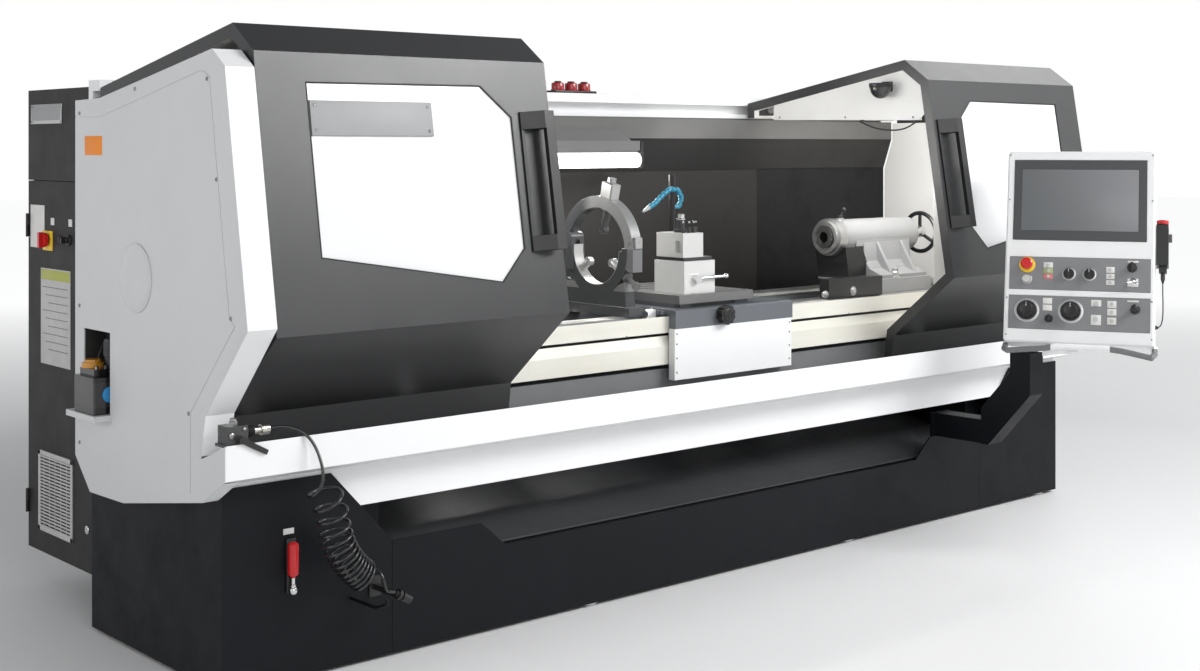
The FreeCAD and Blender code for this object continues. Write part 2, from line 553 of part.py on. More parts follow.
# ================================================================ tailstock
TZ = WAY_Z + 0.5
base_t = fuse(box(2745, 3072, 205, 255, TZ, 964), box(3010, 3405, 215, 430, TZ, 946), box(3106, 3405, 425, 520, TZ, 946),
              box(3256, 3405, 515, 640, TZ, 946))
base_t = base_t.cut(box(3000, 3500, 312, 532, TZ - 1, 900))
barrel = cyl((2958, AX_Y, AX_Z), (1, 0, 0), 76, 46)
body_top = cyl((3000, AX_Y, AX_Z), (1, 0, 0), 71, 470)
web = prism([(3060, 335, 946), (3060, 465, 946), (3060, 470, 1100), (3060, 330, 1100)], (345, 0, 0))
flare = prism([(3106, 238, 946), (3106, 520, 946), (3106, 520, 960), (3106, 498, 984), (3106, 478, 1014), (3106, 470, 1090),
               (3106, 330, 1090), (3106, 322, 1014), (3106, 300, 984), (3106, 238, 960)], (299, 0, 0))
gus = [prism([(x, 250, 960), (x, 329, 1092), (x, 329, 960)], (16, 0, 0)) for x in (3186, 3340)]
neck_t = prism([(2998, 318, 940), (3112, 318, 940), (3112, 318, 1016), (3092, 318, 1052), (3060, 318, 1074), (2978, 318, 1076),
                (2980, 318, 1048), (2990, 318, 1010)], (0, 164, 0))
ts = fuse(base_t, barrel, body_top, web, flare, neck_t, *gus)
ts = ts.fuse(ring((2942, AX_Y, AX_Z), (1, 0, 0), 50, 66, 20))
ts = ts.fuse(cone((3470, AX_Y, AX_Z), (1, 0, 0), 71, 50, 22))
ts = ts.cut(cyl((2900, AX_Y, AX_Z), (1, 0, 0), 45 + RUN, 562))
ts = ts.cut(cyl((3440, AX_Y, AX_Z), (1, 0, 0), 12 + RUN, 80))
ts = ts.fuse(cyl((3009, 376, 1168), (0, 0, 1), 16, 25)).cut(cyl((3009, 376, 1182), (0, 0, 1), 7 + RUN, 40))
nodes["tailstock"] = ts.removeSplitter()

q = cyl((2936, AX_Y, AX_Z), (1, 0, 0), 45, 330)
q = q.cut(cone((2930, AX_Y, AX_Z), (1, 0, 0), 22.3, 16, 130))
nodes["quill"] = q

hw = Part.makeTorus(83, 9, V(3572, AX_Y, AX_Z), V(1, 0, 0))
hw = fuse(hw, cyl((3493, AX_Y, AX_Z), (1, 0, 0), 22, 92), cyl((3446, AX_Y, AX_Z), (1, 0, 0), 12, 60))
for k in range(3):
    a = math.radians(90 + 120 * k)
    hw = hw.fuse(cyl((3572, AX_Y + 15 * math.cos(a), AX_Z + 15 * math.sin(a)), (0, math.cos(a), math.sin(a)), 7.5, 66))
nodes["handwheel"] = hw

qc = fuse(cyl((3009, 376, 1184), (0, 0, 1), 7, 20), cyl((3009, 376, 1194), (0, 0, 1), 12, 11),
          rod([(3009, 376, 1200), (3020, 364, 1228)], 4.5), Part.makeSphere(9, V(3020, 364, 1228)))
nodes["quill_clamp"] = qc

# ================================================================ electrical cabinet
cx0, cx1, cy0, cy1, cz0, cz1, cseam = CAB
cab = box(cx0 + 20, cx1, cy0, cy1, cz0, cz1).cut(box(cx0 - 5, cx1 - 4, cy0 + 4, cy1 - 4, cz0 + 4, cseam - 6))
cab = cab.cut(box(cx0 + 24, cx1 - 4, cy0 + 4, cy1 - 4, cseam + 2, cz1 - 4))
cab = fuse(cab, box(cx0, cx0 + 20, cy0, cy1, cseam + 2, cz1), box(cx0 + 20, cx0 + 26, cy0 + 4, cy0 + 30, cz0, cseam),
           box(cx0 + 20, cx0 + 26, cy1 - 30, cy1 - 4, cz0, cseam))
for z in (200, 500):                       # rails that carry the cabinet on the base
    cab = cab.fuse(box(140, 480, BASE_D, cy0, z, z + 50))
cab = fuse(cab, box(120, 905, cy1 - 2, cy1 + 13, 200, 1620))          # service panel on the rear side
HX, HY = 54.0, 1475.0                      # hinge line of the cabinet door
for z in (240, 1180):
    cab = fuse(cab, cyl((HX, HY, z), (0, 0, 1), 5, 40), cyl((HX, HY, z + 40), (0, 0, 1), 2.5, 40),
               box(HX, cx0 + 24, HY - 3, HY + 4, z, z + 40))
nodes["cabinet_body"] = cab
cd = box(cx0, cx0 + 19.5, cy0 + 1, cy1 - 1, cz0 + 1, cseam)
cd = cd.cut(box(cx0 + 3, cx0 + 21, cy0 + 34, cy1 - 34, cz0 + 34, cseam - 33))
for z in (240, 1180):
    cd = cd.cut(box(cx0 - 1, cx0 + 21, HY - 8, cy1 + 1, z - 1, z + 40.3))
    lugd = fuse(cyl((HX, HY, z + 40.3), (0, 0, 1), 5, 39), box(HX - 4, cx0 + 3, HY - 12, HY - 3, z + 40.3, z + 79.3),
                box(HX - 2, HX + 2, HY - 6, HY - 2, z + 40.3, z + 79.3))
    cd = fuse(cd, lugd).cut(cyl((HX, HY, z + 30), (0, 0, 1), 2.5 + RUN, 60))
cd = cd.cut(cyl((cx0 - 5, 1314, 1176), (1, 0, 0), 10 + RUN, 40))
# louvred air inlet
cd = cd.cut(box(cx0 - 1, cx0 + 30, 1128, 1376, 202, 460))
for i in range(10):
    z0 = 203 + 25.0 * i
    cd = cd.fuse(prism([(cx0, 1128, z0), (cx0 + 3, 1128, z0), (cx0 + 12, 1128, z0 + 20), (cx0 + 9, 1128, z0 + 20)], (0, 248, 0)))
nodes["cabinet_door"] = cd.removeSplitter()
ms = fuse(cyl((cx0 + 16, 1314, 1176), (-1, 0, 0), 10, 24), cyl((cx0 - 8.5, 1314, 1176), (-1, 0, 0), 24, 10),
          box(cx0 - 34, cx0 - 18, 1307, 1321, 1150, 1202))
ms = fuse(ms, cyl((cx0 - 0.5, 1314, 1176), (-1, 0, 0), 16, 8.2))
nodes["main_switch"] = ms

# ================================================================ air valve, lever, hose
av = fuse(box(-34, 26, -96, -40, 694, 742), box(-40, 30, -104, -36, 686, 694), cyl((26, -68, 720), (1, 0, 0), 13, 30),
          cyl((56, -68, 720), (1, 0, 0), 10, 22), cyl((78, -68, 720), (1, 0, 0), 15, 24))
av = av.cut(yz([(-106, 694), (-106, 560), (46, 560), (46, 634), (32, 640)], -60, 60))
av = fuse(av, cyl((0, -96, 706), (0, -1, 0), 11, 10)).cut(cyl((0, -94, 706), (0, -1, 0), 4.5 + RUN, 40))
nodes["air_valve"] = av
vl = fuse(cyl((0, -95, 706), (0, -1, 0), 4.5, 20), cyl((0, -107, 706), (0, -1, 0), 10, 8),
          xz([(-3, 714), (7, 713), (40, 692), (78, 671), (72, 659), (34, 678), (2, 696), (-6, 702)], -115, -108))
nodes["valve_lever"] = vl

lead = [(104, -68, 720), (136, -76, 723), (168, -94, 718), (194.5, -111.8, 700), (211.4, -126.7, 672.7),
        (219.2, -139.5, 642.6), (221.3, -152.1, 613.6), (219.5, -161, 586.3), (216.5, -162.5, 557.5)]
nodes["hose_lead"] = tube(lead, HOSE_D, "hose_lead")
coil = [(233, -125, 565), (266, -125, 492), (278, -125, 424), (298, -125, 366), (338, -125, 310), (404, -125, 258), (480, -125, 215)]
nodes["hose_coil"] = tube(coil, COIL_D, "hose_coil")
dx, dz = 76.0, -43.0
L = math.hypot(dx, dz)
dx, dz = dx / L, dz / L
he = fuse(cyl((480, -125, 215), (dx, 0, dz), 9, 26), cyl((480 + 26 * dx, -125, 215 + 26 * dz), (dx, 0, dz), 13, 30))
# holder on the base front that carries the lower end of the coil
px, pz = 480 + 13 * dx, 215 + 13 * dz
he = fuse(he, ring((px - 5 * dx, -125, pz - 5 * dz), (dx, 0, dz), 8, 15, 10), box(px - 8, px + 8, -113, -4, pz - 8, pz + 8),
          box(px - 20, px + 20, -4, 0, pz - 30, pz + 30))
nodes["hose_end"] = he

# ================================================================ pendant arm and pendant
arm = fuse(box(3153, 3240, -216, 18, 331, 423), box(3140, 3253, 6, 18, 60, 423), yz([(-216, 329), (-249, 329), (-438, 541), (-438, 700), (-349, 700), (-349, 619), (-216, 470),
                                             (-216, 423)], 3153, 3240))
arm = fuse(arm, cyl((POST[0], POST[1], 700), (0, 0, 1), 34, 10), cyl((POST[0], POST[1], 710), (0, 0, 1), 14, 22))
nodes["pendant_arm"] = arm

# pendant housing, with its swivel neck and the bar handle under it
body = box(-268, 272, 3, 120, -548, 192)
body = body.makeFillet(16, [e for e in body.Edges if abs(e.BoundBox.YLength - 117) < 1])
body = body.makeChamfer(6, [e for e in body.Edges if e.BoundBox.YMax < 3.5 and (e.BoundBox.ZLength > 600 or e.BoundBox.XLength > 400)])
body = body.cut(box(-242.5, 242.5, 0, 14, -157, 157)).cut(box(-251, 257, 0, 10, -347, -221)).cut(box(-251, 257, 0, 10, -497, -369))
body = body.cut(box(-264, 268, 17, 117, -544, 188))
plate_b = box(-118, 2, 30, 110, -572, -548)
bar = rod([(-262, 60, -545), (-262, 8, -574), (-248, -15, -583), (-118, -16, -570), (-70, -16, -562), (96, -16, -562), (160, -16, -570), (261.13, -15, -590),
           (272, 8, -574), (272, 60, -545)], 11)
gus_p = prism([(-125, 22, -550), (0, 22, -550), (-55, 22, -582), (-125, 22, -593)], (0, 10, 0))
hold = box(272, 276, 30, 100, -240, -60)
shell = to_pendant(fuse(body, plate_b, gus_p, bar, hold).cut(cyl((-100, 70, -580), (0, 0, 1), 9, 50)))
neck = fuse(ring((POST[0], POST[1], 710.4), (0, 0, 1), 14 + RUN, 34, 24), xy([(3170, -394), (3224, -394), (3226, -560), (3150, -590)], 722, 734))
neck = neck.cut(cyl((POST[0], POST[1], 700), (0, 0, 1), 14 + RUN, 60))
nodes["pendant_housing"] = fuse(shell, neck)

scn = box(-241.5, 241.5, 1, 14, -156, 156)
scn = scn.cut(box(-213.5, 213.5, 0, 2.2, -120, 120))
nodes["screen"] = to_pendant(scn)

ctl = [("estop", -186, -253), ("reset_button", -186, -308), ("selector_a", -34, -284), ("selector_b", 40, -284),
       ("feed_dial", -184, -426), ("speed_dial", -25, -425), ("joystick", 204, -412)]
shaft_r = 5.0
pl1 = box(-250, 256, 1.5, 10, -346, -222)
pl2 = box(-250, 256, 1.5, 10, -496, -370)
for nme, u, w in ctl:
    h = cyl((u, -1, w), (0, 1, 0), shaft_r + RUN, 20)
    if nme == "joystick":
        h = cyl((u, -1, w), (0, 1, 0), 16, 20)
    pl1, pl2 = pl1.cut(h), pl2.cut(h)
nodes["control_panels"] = to_pendant(Part.makeCompound([pl1, pl2]))
for nme, u, w in ctl:
    h = cyl((u, 9.5, w), (0, -1, 0), shaft_r, 10)
    if nme in ("estop", "reset_button"):
        h = cyl((u, 5.5, w), (0, -1, 0), shaft_r, 10)
    if nme == "estop":
        k = fuse(h, cyl((u, -3.2, w), (0, -1, 0), 10, 16), cyl((u, -19.2, w), (0, -1, 0), 22, 11),
                 cone((u, -30.2, w), (0, -1, 0), 22, 17, 4))
    elif nme == "reset_button":
        k = fuse(h, cyl((u, -3.5, w), (0, -1, 0), 14, 8))
    elif nme.startswith("selector"):
        k = fuse(h, cyl((u, 0.9, w), (0, -1, 0), 19, 9), box(u - 6, u + 6, -24, -8, w - 18, w + 18))
    elif nme.endswith("dial"):
        k = fuse(h, cyl((u, 0.9, w), (0, -1, 0), 36, 5), cyl((u, -4.1, w), (0, -1, 0), 29, 22))
        for i in range(12):
            a = math.radians(30 * i)
            k = k.cut(cyl((u + 31.5 * math.cos(a), -5, w + 31.5 * math.sin(a)), (0, -1, 0), 4.5, 40))
    else:
        k = fuse(Part.makeSphere(10, V(u, 4, w)).common(box(u - 20, u + 20, -30, 4, w - 20, w + 20)),
                 cone((u, -2, w), (0, -1, 0), 8, 6, 26), cyl((u, -28, w), (0, -1, 0), 12, 22), Part.makeSphere(12, V(u, -50, w)))
    nodes[nme] = to_pendant(k)

# portable hand unit parked on the pendant's right flank
hh = fuse(box(276, 318, 20, 96, -238, -86), cyl((297, 58, -86), (0, 0, 1), 17, 8), cyl((297, 58, -78), (0, 0, 1), 21, 14),
          cyl((318, 56, -130), (1, 0, 0), 16, 12), box(284, 312, 40, 74, -262, -238), cyl((298, 57, -262), (0, 0, -1), 8, 26))
nodes["hand_unit"] = to_pendant(hh)

# ---------------------------------------------------------------- export
tot = FreeCAD.BoundBox()
for name, s in nodes.items():
    s = s.copy()
    s.translate(V(DX, DY, DZ))
    if not s.isValid():
        print("NOT VALID", name)
    n = len(s.Solids)
    s.exportStep("parts/%s.step" % name)
    if name not in ("hose_lead", "hose_coil", "hose_end"):
        tot.add(s.BoundBox)
    print("%-18s solids %2d  vol %.5f m3" % (name, n, s.Volume / 1e9))
print("nodes", len(nodes), "bbox", tot)
print("centre x %.2f y %.2f zmin %.2f" % (tot.Center.x, tot.Center.y, tot.ZMin))
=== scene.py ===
import bpy, bmesh, math, random
from mathutils import Vector, Matrix


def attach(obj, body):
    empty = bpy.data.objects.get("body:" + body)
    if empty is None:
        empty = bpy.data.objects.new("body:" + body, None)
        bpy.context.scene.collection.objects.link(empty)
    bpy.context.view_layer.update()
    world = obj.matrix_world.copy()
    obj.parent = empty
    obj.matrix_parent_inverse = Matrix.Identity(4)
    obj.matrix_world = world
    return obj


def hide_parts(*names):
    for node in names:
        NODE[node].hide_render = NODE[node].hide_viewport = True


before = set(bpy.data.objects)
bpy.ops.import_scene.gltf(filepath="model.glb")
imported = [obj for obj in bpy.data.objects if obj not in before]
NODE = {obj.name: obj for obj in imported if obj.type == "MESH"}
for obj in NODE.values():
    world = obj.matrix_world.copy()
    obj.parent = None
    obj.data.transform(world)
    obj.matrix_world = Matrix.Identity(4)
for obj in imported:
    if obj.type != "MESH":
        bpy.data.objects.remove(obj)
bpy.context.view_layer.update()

random.seed(11)
SC = bpy.context.scene

# the construction's own millimetres, and how they sit in the frame
DX, DY, DZ = -1950.0, -300.21, 12.0


def W(x, y, z):
    return Vector(((x + DX) / 1000.0, (y + DY) / 1000.0, (z + DZ) / 1000.0))


PEN = Vector((3280.0, -572.0, 1285.0))
PEN_R = Matrix.Rotation(math.radians(-61.8), 3, "Z") @ Matrix.Rotation(math.radians(-15.0), 3, "X")
FRONT_R = Matrix.Rotation(-math.atan2(125.0, 765.0), 3, "X")


def PN(u, y, w):
    """Pendant's own frame: right, into the panel, up the face."""
    v = PEN + PEN_R @ Vector((u, y, w))
    return W(*v)


def DF(x, y, z):
    """Front face of a sliding door: along it, into it, up from the knee."""
    v = Vector((0, -213, 983)) + FRONT_R @ Vector((x, y, z))
    return W(*v)


# ------------------------------------------------------------------ camera
cam_d = bpy.data.cameras.new("camera")
cam = bpy.data.objects.new("camera", cam_d)
SC.collection.objects.link(cam)
cam.location = W(-2131.5, -3980.9, 1490.0)
cam.rotation_euler = (math.radians(90), 0, math.radians(-41.3))
cam_d.sensor_width = 36.0
cam_d.lens = 48.6
cam_d.shift_y = -0.158
cam_d.clip_start, cam_d.clip_end = 0.05, 200
SC.camera = cam


# ------------------------------------------------------------------ materials
class Mat:
    """Small helper round one node material."""

    def __init__(self, name):
        self.m = bpy.data.materials.new(name)
        self.m.use_nodes = True
        self.t = self.m.node_tree
        self.t.nodes.clear()
        self.out = self.n("ShaderNodeOutputMaterial")
        self.b = self.n("ShaderNodeBsdfPrincipled")
        self.link(self.b.outputs[0], self.out.inputs[0])
        self.co = self.n("ShaderNodeTexCoord").outputs["Object"]

    def n(self, kind, **k):
        x = self.t.nodes.new(kind)
        for a, v in k.items():
            setattr(x, a, v)
        return x

    def link(self, a, b):
        self.t.links.new(a, b)

    def put(self, sock, v):
        if hasattr(v, "is_output") or isinstance(v, bpy.types.NodeSocket):
            self.link(v, sock)
        else:
            sock.default_value = v

    def math(self, op, a, b=None, c=None, clamp=False):
        x = self.n("ShaderNodeMath", operation=op, use_clamp=clamp)
        for i, v in enumerate((a, b, c)):
            if v is not None:
                self.put(x.inputs[i], v)
        return x.outputs[0]

    def noise(self, scale, detail=3.0, rough=0.55, vec=None, stretch=None):
        v = vec if vec is not None else self.co
        if stretch:
            mp = self.n("ShaderNodeMapping")
            mp.inputs["Scale"].default_value = stretch
            self.link(v, mp.inputs[0])
            v = mp.outputs[0]
        x = self.n("ShaderNodeTexNoise")
        x.inputs["Scale"].default_value = scale
        x.inputs["Detail"].default_value = detail
        x.inputs["Roughness"].default_value = rough
        self.link(v, x.inputs["Vector"])
        return x.outputs[0]

    def rng(self, v, a, b, c, d):
        x = self.n("ShaderNodeMapRange")
        self.link(v, x.inputs[0])
        for i, k in enumerate((a, b, c, d)):
            x.inputs[i + 1].default_value = k
        return x.outputs[0]

    def mix(self, f, a, b, mode="MIX"):
        x = self.n("ShaderNodeMix", data_type="RGBA", blend_type=mode)
        self.put(x.inputs[0], f)
        self.put(x.inputs[6], a if not isinstance(a, tuple) else (*a[:3], 1))
        self.put(x.inputs[7], b if not isinstance(b, tuple) else (*b[:3], 1))
        return x.outputs[2]

    def mixf(self, f, a, b):
        x = self.n("ShaderNodeMix", data_type="FLOAT")
        self.put(x.inputs[0], f)
        self.put(x.inputs[2], a)
        self.put(x.inputs[3], b)
        return x.outputs[0]

    def xyz(self, vec=None):
        x = self.n("ShaderNodeSeparateXYZ")
        self.link(vec if vec is not None else self.co, x.inputs[0])
        return x.outputs

    def lt(self, v, edge, soft=0.0004):
        return self.rng(v, edge - soft, edge + soft, 1.0, 0.0)

    def gt(self, v, edge, soft=0.0004):
        return self.rng(v, edge - soft, edge + soft, 0.0, 1.0)

    def both(self, *v):
        r = v[0]
        for x in v[1:]:
            r = self.math("MULTIPLY", r, x)
        return r

    def either(self, *v):
        r = v[0]
        for x in v[1:]:
            r = self.math("MAXIMUM", r, x)
        return r

    def wx(self, mm):
        return (mm + DX) / 1000.0

    def wy(self, mm):
        return (mm + DY) / 1000.0

    def wz(self, mm):
        return (mm + DZ) / 1000.0

    def local(self):
        """Pendant's own u, y, w in metres."""
        o = W(*PEN)
        s = self.n("ShaderNodeVectorMath", operation="SUBTRACT")
        self.link(self.co, s.inputs[0])
        s.inputs[1].default_value = o
        r = []
        for k in range(3):
            d = self.n("ShaderNodeVectorMath", operation="DOT_PRODUCT")
            self.link(s.outputs[0], d.inputs[0])
            d.inputs[1].default_value = PEN_R.col[k]
            r.append(d.outputs["Value"])
        return r

    def radius(self, cy, cz, axis="x", cx=0.0):
        x, y, z = self.xyz()
        if axis == "x":
            a, b = self.math("SUBTRACT", y, self.wy(cy)), self.math("SUBTRACT", z, self.wz(cz))
        elif axis == "z":
            a, b = self.math("SUBTRACT", x, self.wx(cx)), self.math("SUBTRACT", y, self.wy(cy))
        else:
            a, b = self.math("SUBTRACT", x, self.wx(cx)), self.math("SUBTRACT", z, self.wz(cz))
        return self.math("SQRT", self.math("ADD", self.math("MULTIPLY", a, a), self.math("MULTIPLY", b, b)))


def finish_surface(M, col, rough=0.45, var=0.05, vscale=2.5, rvar=0.06, rscale=9.0, grain=900.0, gstr=0.12,
                   gdist=0.0006, edge=0.0012, wear=0.0, wearcol=(0.5, 0.5, 0.5), metal=0.0, coat=0.0, coatr=0.2,
                   spec=0.5, lines=None, lstr=0.2, smudge=0.0, dust=0.0):
    """Shared surface build-up: tone drift, grain bump, rounded edges, worn edges, smudges, dust."""
    t = M
    tone = t.rng(t.noise(vscale, 4), 0.32, 0.68, 1 - var, 1 + var)
    hs = t.n("ShaderNodeHueSaturation")
    t.put(hs.inputs["Color"], col if not isinstance(col, tuple) else (*col[:3], 1))
    t.link(tone, hs.inputs["Value"])
    c = hs.outputs[0]
    if dust:
        x, y, z = t.xyz(t.n("ShaderNodeNewGeometry").outputs["Normal"])
        up = t.math("MULTIPLY", t.rng(z, 0.5, 1.0, 0.0, dust), t.rng(t.noise(14, 5), 0.35, 0.7, 0.2, 1.0))
        c = t.mix(up, c, (0.42, 0.41, 0.39))
    r = t.rng(t.noise(rscale, 4), 0.3, 0.7, max(0.03, rough - rvar), min(1.0, rough + rvar))
    if smudge:
        sm = t.rng(t.noise(5.5, 6, 0.7), 0.52, 0.72, 0.0, smudge)
        r = t.math("ADD", r, sm, clamp=True)
    h = t.noise(grain, 2)
    if lines:
        h2 = t.noise(1.0, 3, 0.6, stretch=lines)
        h = t.math("ADD", t.math("MULTIPLY", h, 0.25), t.math("MULTIPLY", h2, 0.75))
        gs = lstr
    else:
        gs = gstr
    bp = t.n("ShaderNodeBump")
    bp.inputs["Strength"].default_value = gs
    bp.inputs["Distance"].default_value = gdist
    t.link(h, bp.inputs["Height"])
    if edge:
        bv = t.n("ShaderNodeBevel")
        bv.samples = 3
        bv.inputs["Radius"].default_value = edge
        t.link(bv.outputs[0], bp.inputs["Normal"])
        if wear:
            g = t.n("ShaderNodeNewGeometry")
            d = t.n("ShaderNodeVectorMath", operation="DOT_PRODUCT")
            t.link(bv.outputs[0], d.inputs[0])
            t.link(g.outputs["True Normal"], d.inputs[1])
            e = t.rng(t.math("ABSOLUTE", d.outputs["Value"]), 0.80, 0.97, wear, 0.0)
            e = t.math("MULTIPLY", e, t.rng(t.noise(35, 5), 0.38, 0.62, 0.15, 1.0), clamp=True)
            c = t.mix(e, c, wearcol)
    b = t.b
    t.put(b.inputs["Base Color"], c)
    t.put(b.inputs["Roughness"], r)
    t.put(b.inputs["Metallic"], metal)
    b.inputs["Specular IOR Level"].default_value = spec
    b.inputs["Coat Weight"].default_value = coat
    b.inputs["Coat Roughness"].default_value = coatr
    t.link(bp.outputs[0], b.inputs["Normal"])
    return t.m


def simple(name, col, **k):
    return finish_surface(Mat(name), col, **k)


WHITE = (0.80, 0.805, 0.81)
PALE = (0.60, 0.605, 0.615)
CHAR = (0.016, 0.0165, 0.0178)
BASEC = (0.0042, 0.0049, 0.0068)

m_white = simple("white_powder_coat", WHITE, rough=0.40, var=0.02, grain=700, gstr=0.10, wear=0.12, wearcol=(0.5, 0.5, 0.5), coat=0.15, coatr=0.25, smudge=0.10)
m_white_in = simple("white_inner_paint", (0.74, 0.735, 0.72), rough=0.45, var=0.05, grain=600, gstr=0.12, wear=0.15, smudge=0.2)
m_char = simple("charcoal_texture_paint", CHAR, rough=0.42, var=0.22, vscale=3.5, rvar=0.07, grain=620, gstr=0.42, gdist=0.0012,
                wear=0.10, wearcol=(0.10, 0.10, 0.11), spec=0.50, smudge=0.10)
m_base = simple("base_satin_paint", BASEC, rough=0.46, var=0.12, grain=800, gstr=0.14, wear=0.12, wearcol=(0.04, 0.045, 0.05), spec=0.18, smudge=0.10, dust=0.02)
m_cab = simple("cabinet_paint", (0.024, 0.0235, 0.023), rough=0.55, var=0.10, grain=700, gstr=0.25, wear=0.10, wearcol=(0.09, 0.09, 0.09), spec=0.3)
m_dark = simple("dark_grey_enamel", (0.05, 0.052, 0.055), rough=0.42, var=0.10, grain=500, gstr=0.25, wear=0.35, wearcol=(0.3, 0.3, 0.3))
m_slide = simple("slide_grey_enamel", (0.115, 0.125, 0.140), rough=0.36, var=0.06, grain=420, gstr=0.22, wear=0.35, wearcol=(0.45, 0.45, 0.45), coat=0.25, coatr=0.2)
m_steel = simple("ground_steel", (0.56, 0.56, 0.55), rough=0.28, var=0.05, metal=1.0, lines=(4, 320, 320), lstr=0.25, gdist=0.0004, smudge=0.2)
m_chrome = simple("polished_chrome", (0.72, 0.72, 0.72), rough=0.10, var=0.02, metal=1.0, grain=300, gstr=0.02)
m_blackp = simple("black_plastic", (0.012, 0.012, 0.013), rough=0.38, var=0.1, grain=1300, gstr=0.25, edge=0.0015, wear=0.12, wearcol=(0.06, 0.06, 0.06))
m_rubber = simple("black_rubber", (0.014, 0.014, 0.014), rough=0.62, var=0.15, grain=900, gstr=0.3)
m_hose = simple("air_hose_skin", (0.012, 0.0125, 0.014), rough=0.24, var=0.12, grain=400, gstr=0.05, edge=0, coat=0.3, coatr=0.15)
m_red = simple("red_plastic", (0.55, 0.008, 0.012), rough=0.28, var=0.05, grain=500, gstr=0.08, coat=0.3, coatr=0.12)
m_yellow = simple("yellow_plastic", (0.78, 0.52, 0.02), rough=0.35, var=0.05, grain=500, gstr=0.08)
m_orange = simple("orange_label", (0.80, 0.24, 0.015), rough=0.5, var=0.05, grain=300, gstr=0.05, edge=0)
m_blue = simple("blue_plastic", (0.02, 0.22, 0.50), rough=0.30, var=0.06, grain=400, gstr=0.08)
m_label = simple("label_film", (0.50, 0.50, 0.49), rough=0.45, var=0.05, vscale=30, grain=260, gstr=0.05, edge=0)
m_labelw = simple("label_white", (0.70, 0.69, 0.67), rough=0.5, var=0.04, vscale=30, grain=260, gstr=0.05, edge=0)
m_limeband = simple("label_header", (0.42, 0.44, 0.10), rough=0.5, var=0.05, grain=260, gstr=0.05, edge=0)
m_alu = simple("brushed_aluminium", (0.50, 0.50, 0.50), rough=0.33, var=0.05, metal=1.0, lines=(600, 6, 60), lstr=0.22, gdist=0.0003)
m_plate = simple("anodised_plate", (0.315, 0.32, 0.325), rough=0.55, var=0.04, metal=0.0, lines=(6, 500, 500), lstr=0.20, gdist=0.0003)
m_brass = simple("nickel_brass", (0.55, 0.50, 0.40), rough=0.22, var=0.06, metal=1.0, grain=300, gstr=0.05)
m_greyp = simple("grey_plastic", (0.20, 0.204, 0.21), rough=0.48, var=0.06, grain=900, gstr=0.22)
m_lens = simple("lamp_lens", (0.030, 0.031, 0.033), rough=0.12, var=0.05, grain=300, gstr=0.03, coat=0.5, coatr=0.05)
m_beacon = simple("beacon_red", (0.30, 0.006, 0.010), rough=0.25, var=0.06, grain=400, gstr=0.05, coat=0.4, coatr=0.1)
m_screw = simple("screw_steel", (0.30, 0.30, 0.30), rough=0.32, var=0.08, metal=1.0, grain=500, gstr=0.1)


def use(node, m):
    o = NODE[node]
    o.data.materials.clear()
    o.data.materials.append(m)


for nd, mm in dict(
        front_rail=m_white, right_end_cover=m_char, left_handle=m_blackp,
        right_handle=m_blackp, base_frame=m_base, pendant_arm=m_base, cabinet_body=m_cab, cabinet_door=m_cab,
        chip_pan=m_dark, levelling_feet=m_steel, roof_beam=m_white, headstock_guard=m_white_in, saddle=m_slide,
        apron=m_white, ball_screw=m_steel, clamp_lever=m_chrome, valve_lever=m_blackp, drive_belt=m_rubber,
        motor_rotor=m_steel, drive_motor=m_dark, hose_end=m_blackp, selector_a=m_blackp, selector_b=m_blackp,
        feed_dial=m_blackp, speed_dial=m_blackp, joystick=m_blackp, reset_button=m_label, control_panels=m_greyp,
        quill_clamp=m_blackp).items():
    use(nd, mm)

# sliding doors: charcoal outer skin and folded edges, white inner faces, web and track bar
PROFILE = [(872, 1611), (872, 1673), (25, 1829), (-88, 1748), (-213, 983), (76, 738)]


def door_mat(node, x0, x1):
    M = Mat(node + "_paint")
    x, y, z = M.xyz()
    deep = None
    for (ya, za), (yb, zb) in zip(PROFILE, PROFILE[1:]):
        L = math.hypot(yb - ya, zb - za)
        ny, nz = -(zb - za) / L, (yb - ya) / L
        c0 = -(ny * M.wy(ya) + nz * M.wz(za))
        d = M.math("ADD", M.math("MULTIPLY_ADD", y, ny, c0), M.math("MULTIPLY", z, nz))
        deep = d if deep is None else M.math("MINIMUM", deep, d)
    inner = M.gt(deep, 0.0030, 0.0003)
    ends = M.either(M.lt(x, M.wx(x0 + 0.6)), M.gt(x, M.wx(x1 - 0.6)))
    inner = M.both(inner, M.math("SUBTRACT", 1.0, M.both(ends, M.lt(deep, 0.0384))))
    c = M.mix(inner, CHAR, (0.78, 0.775, 0.755))
    finish_surface(M, c, rough=0.31, var=0.05, vscale=3.5, rvar=0.02, grain=620, gstr=0.30, gdist=0.0011, wear=0.05,
                   wearcol=(0.12, 0.12, 0.125), spec=0.70)
    use(node, M.m)


door_mat("left_door", 46, 1056)
door_mat("right_door", 2985, 3995)

# windows: pale, glossy, slightly cloudy panes
M = Mat("window_pane")
g = M.rng(M.noise(1.3, 3), 0.3, 0.7, 0.0, 1.0)
c = M.mix(g, (0.80, 0.805, 0.81), (0.76, 0.765, 0.775))
m_pane = finish_surface(M, c, rough=0.10, var=0.01, grain=60, gstr=0.02, edge=0, coat=0.6, coatr=0.04)
M.b.inputs["IOR"].default_value = 1.5
for nd in ("left_window", "right_window"):
    use(nd, m_pane)

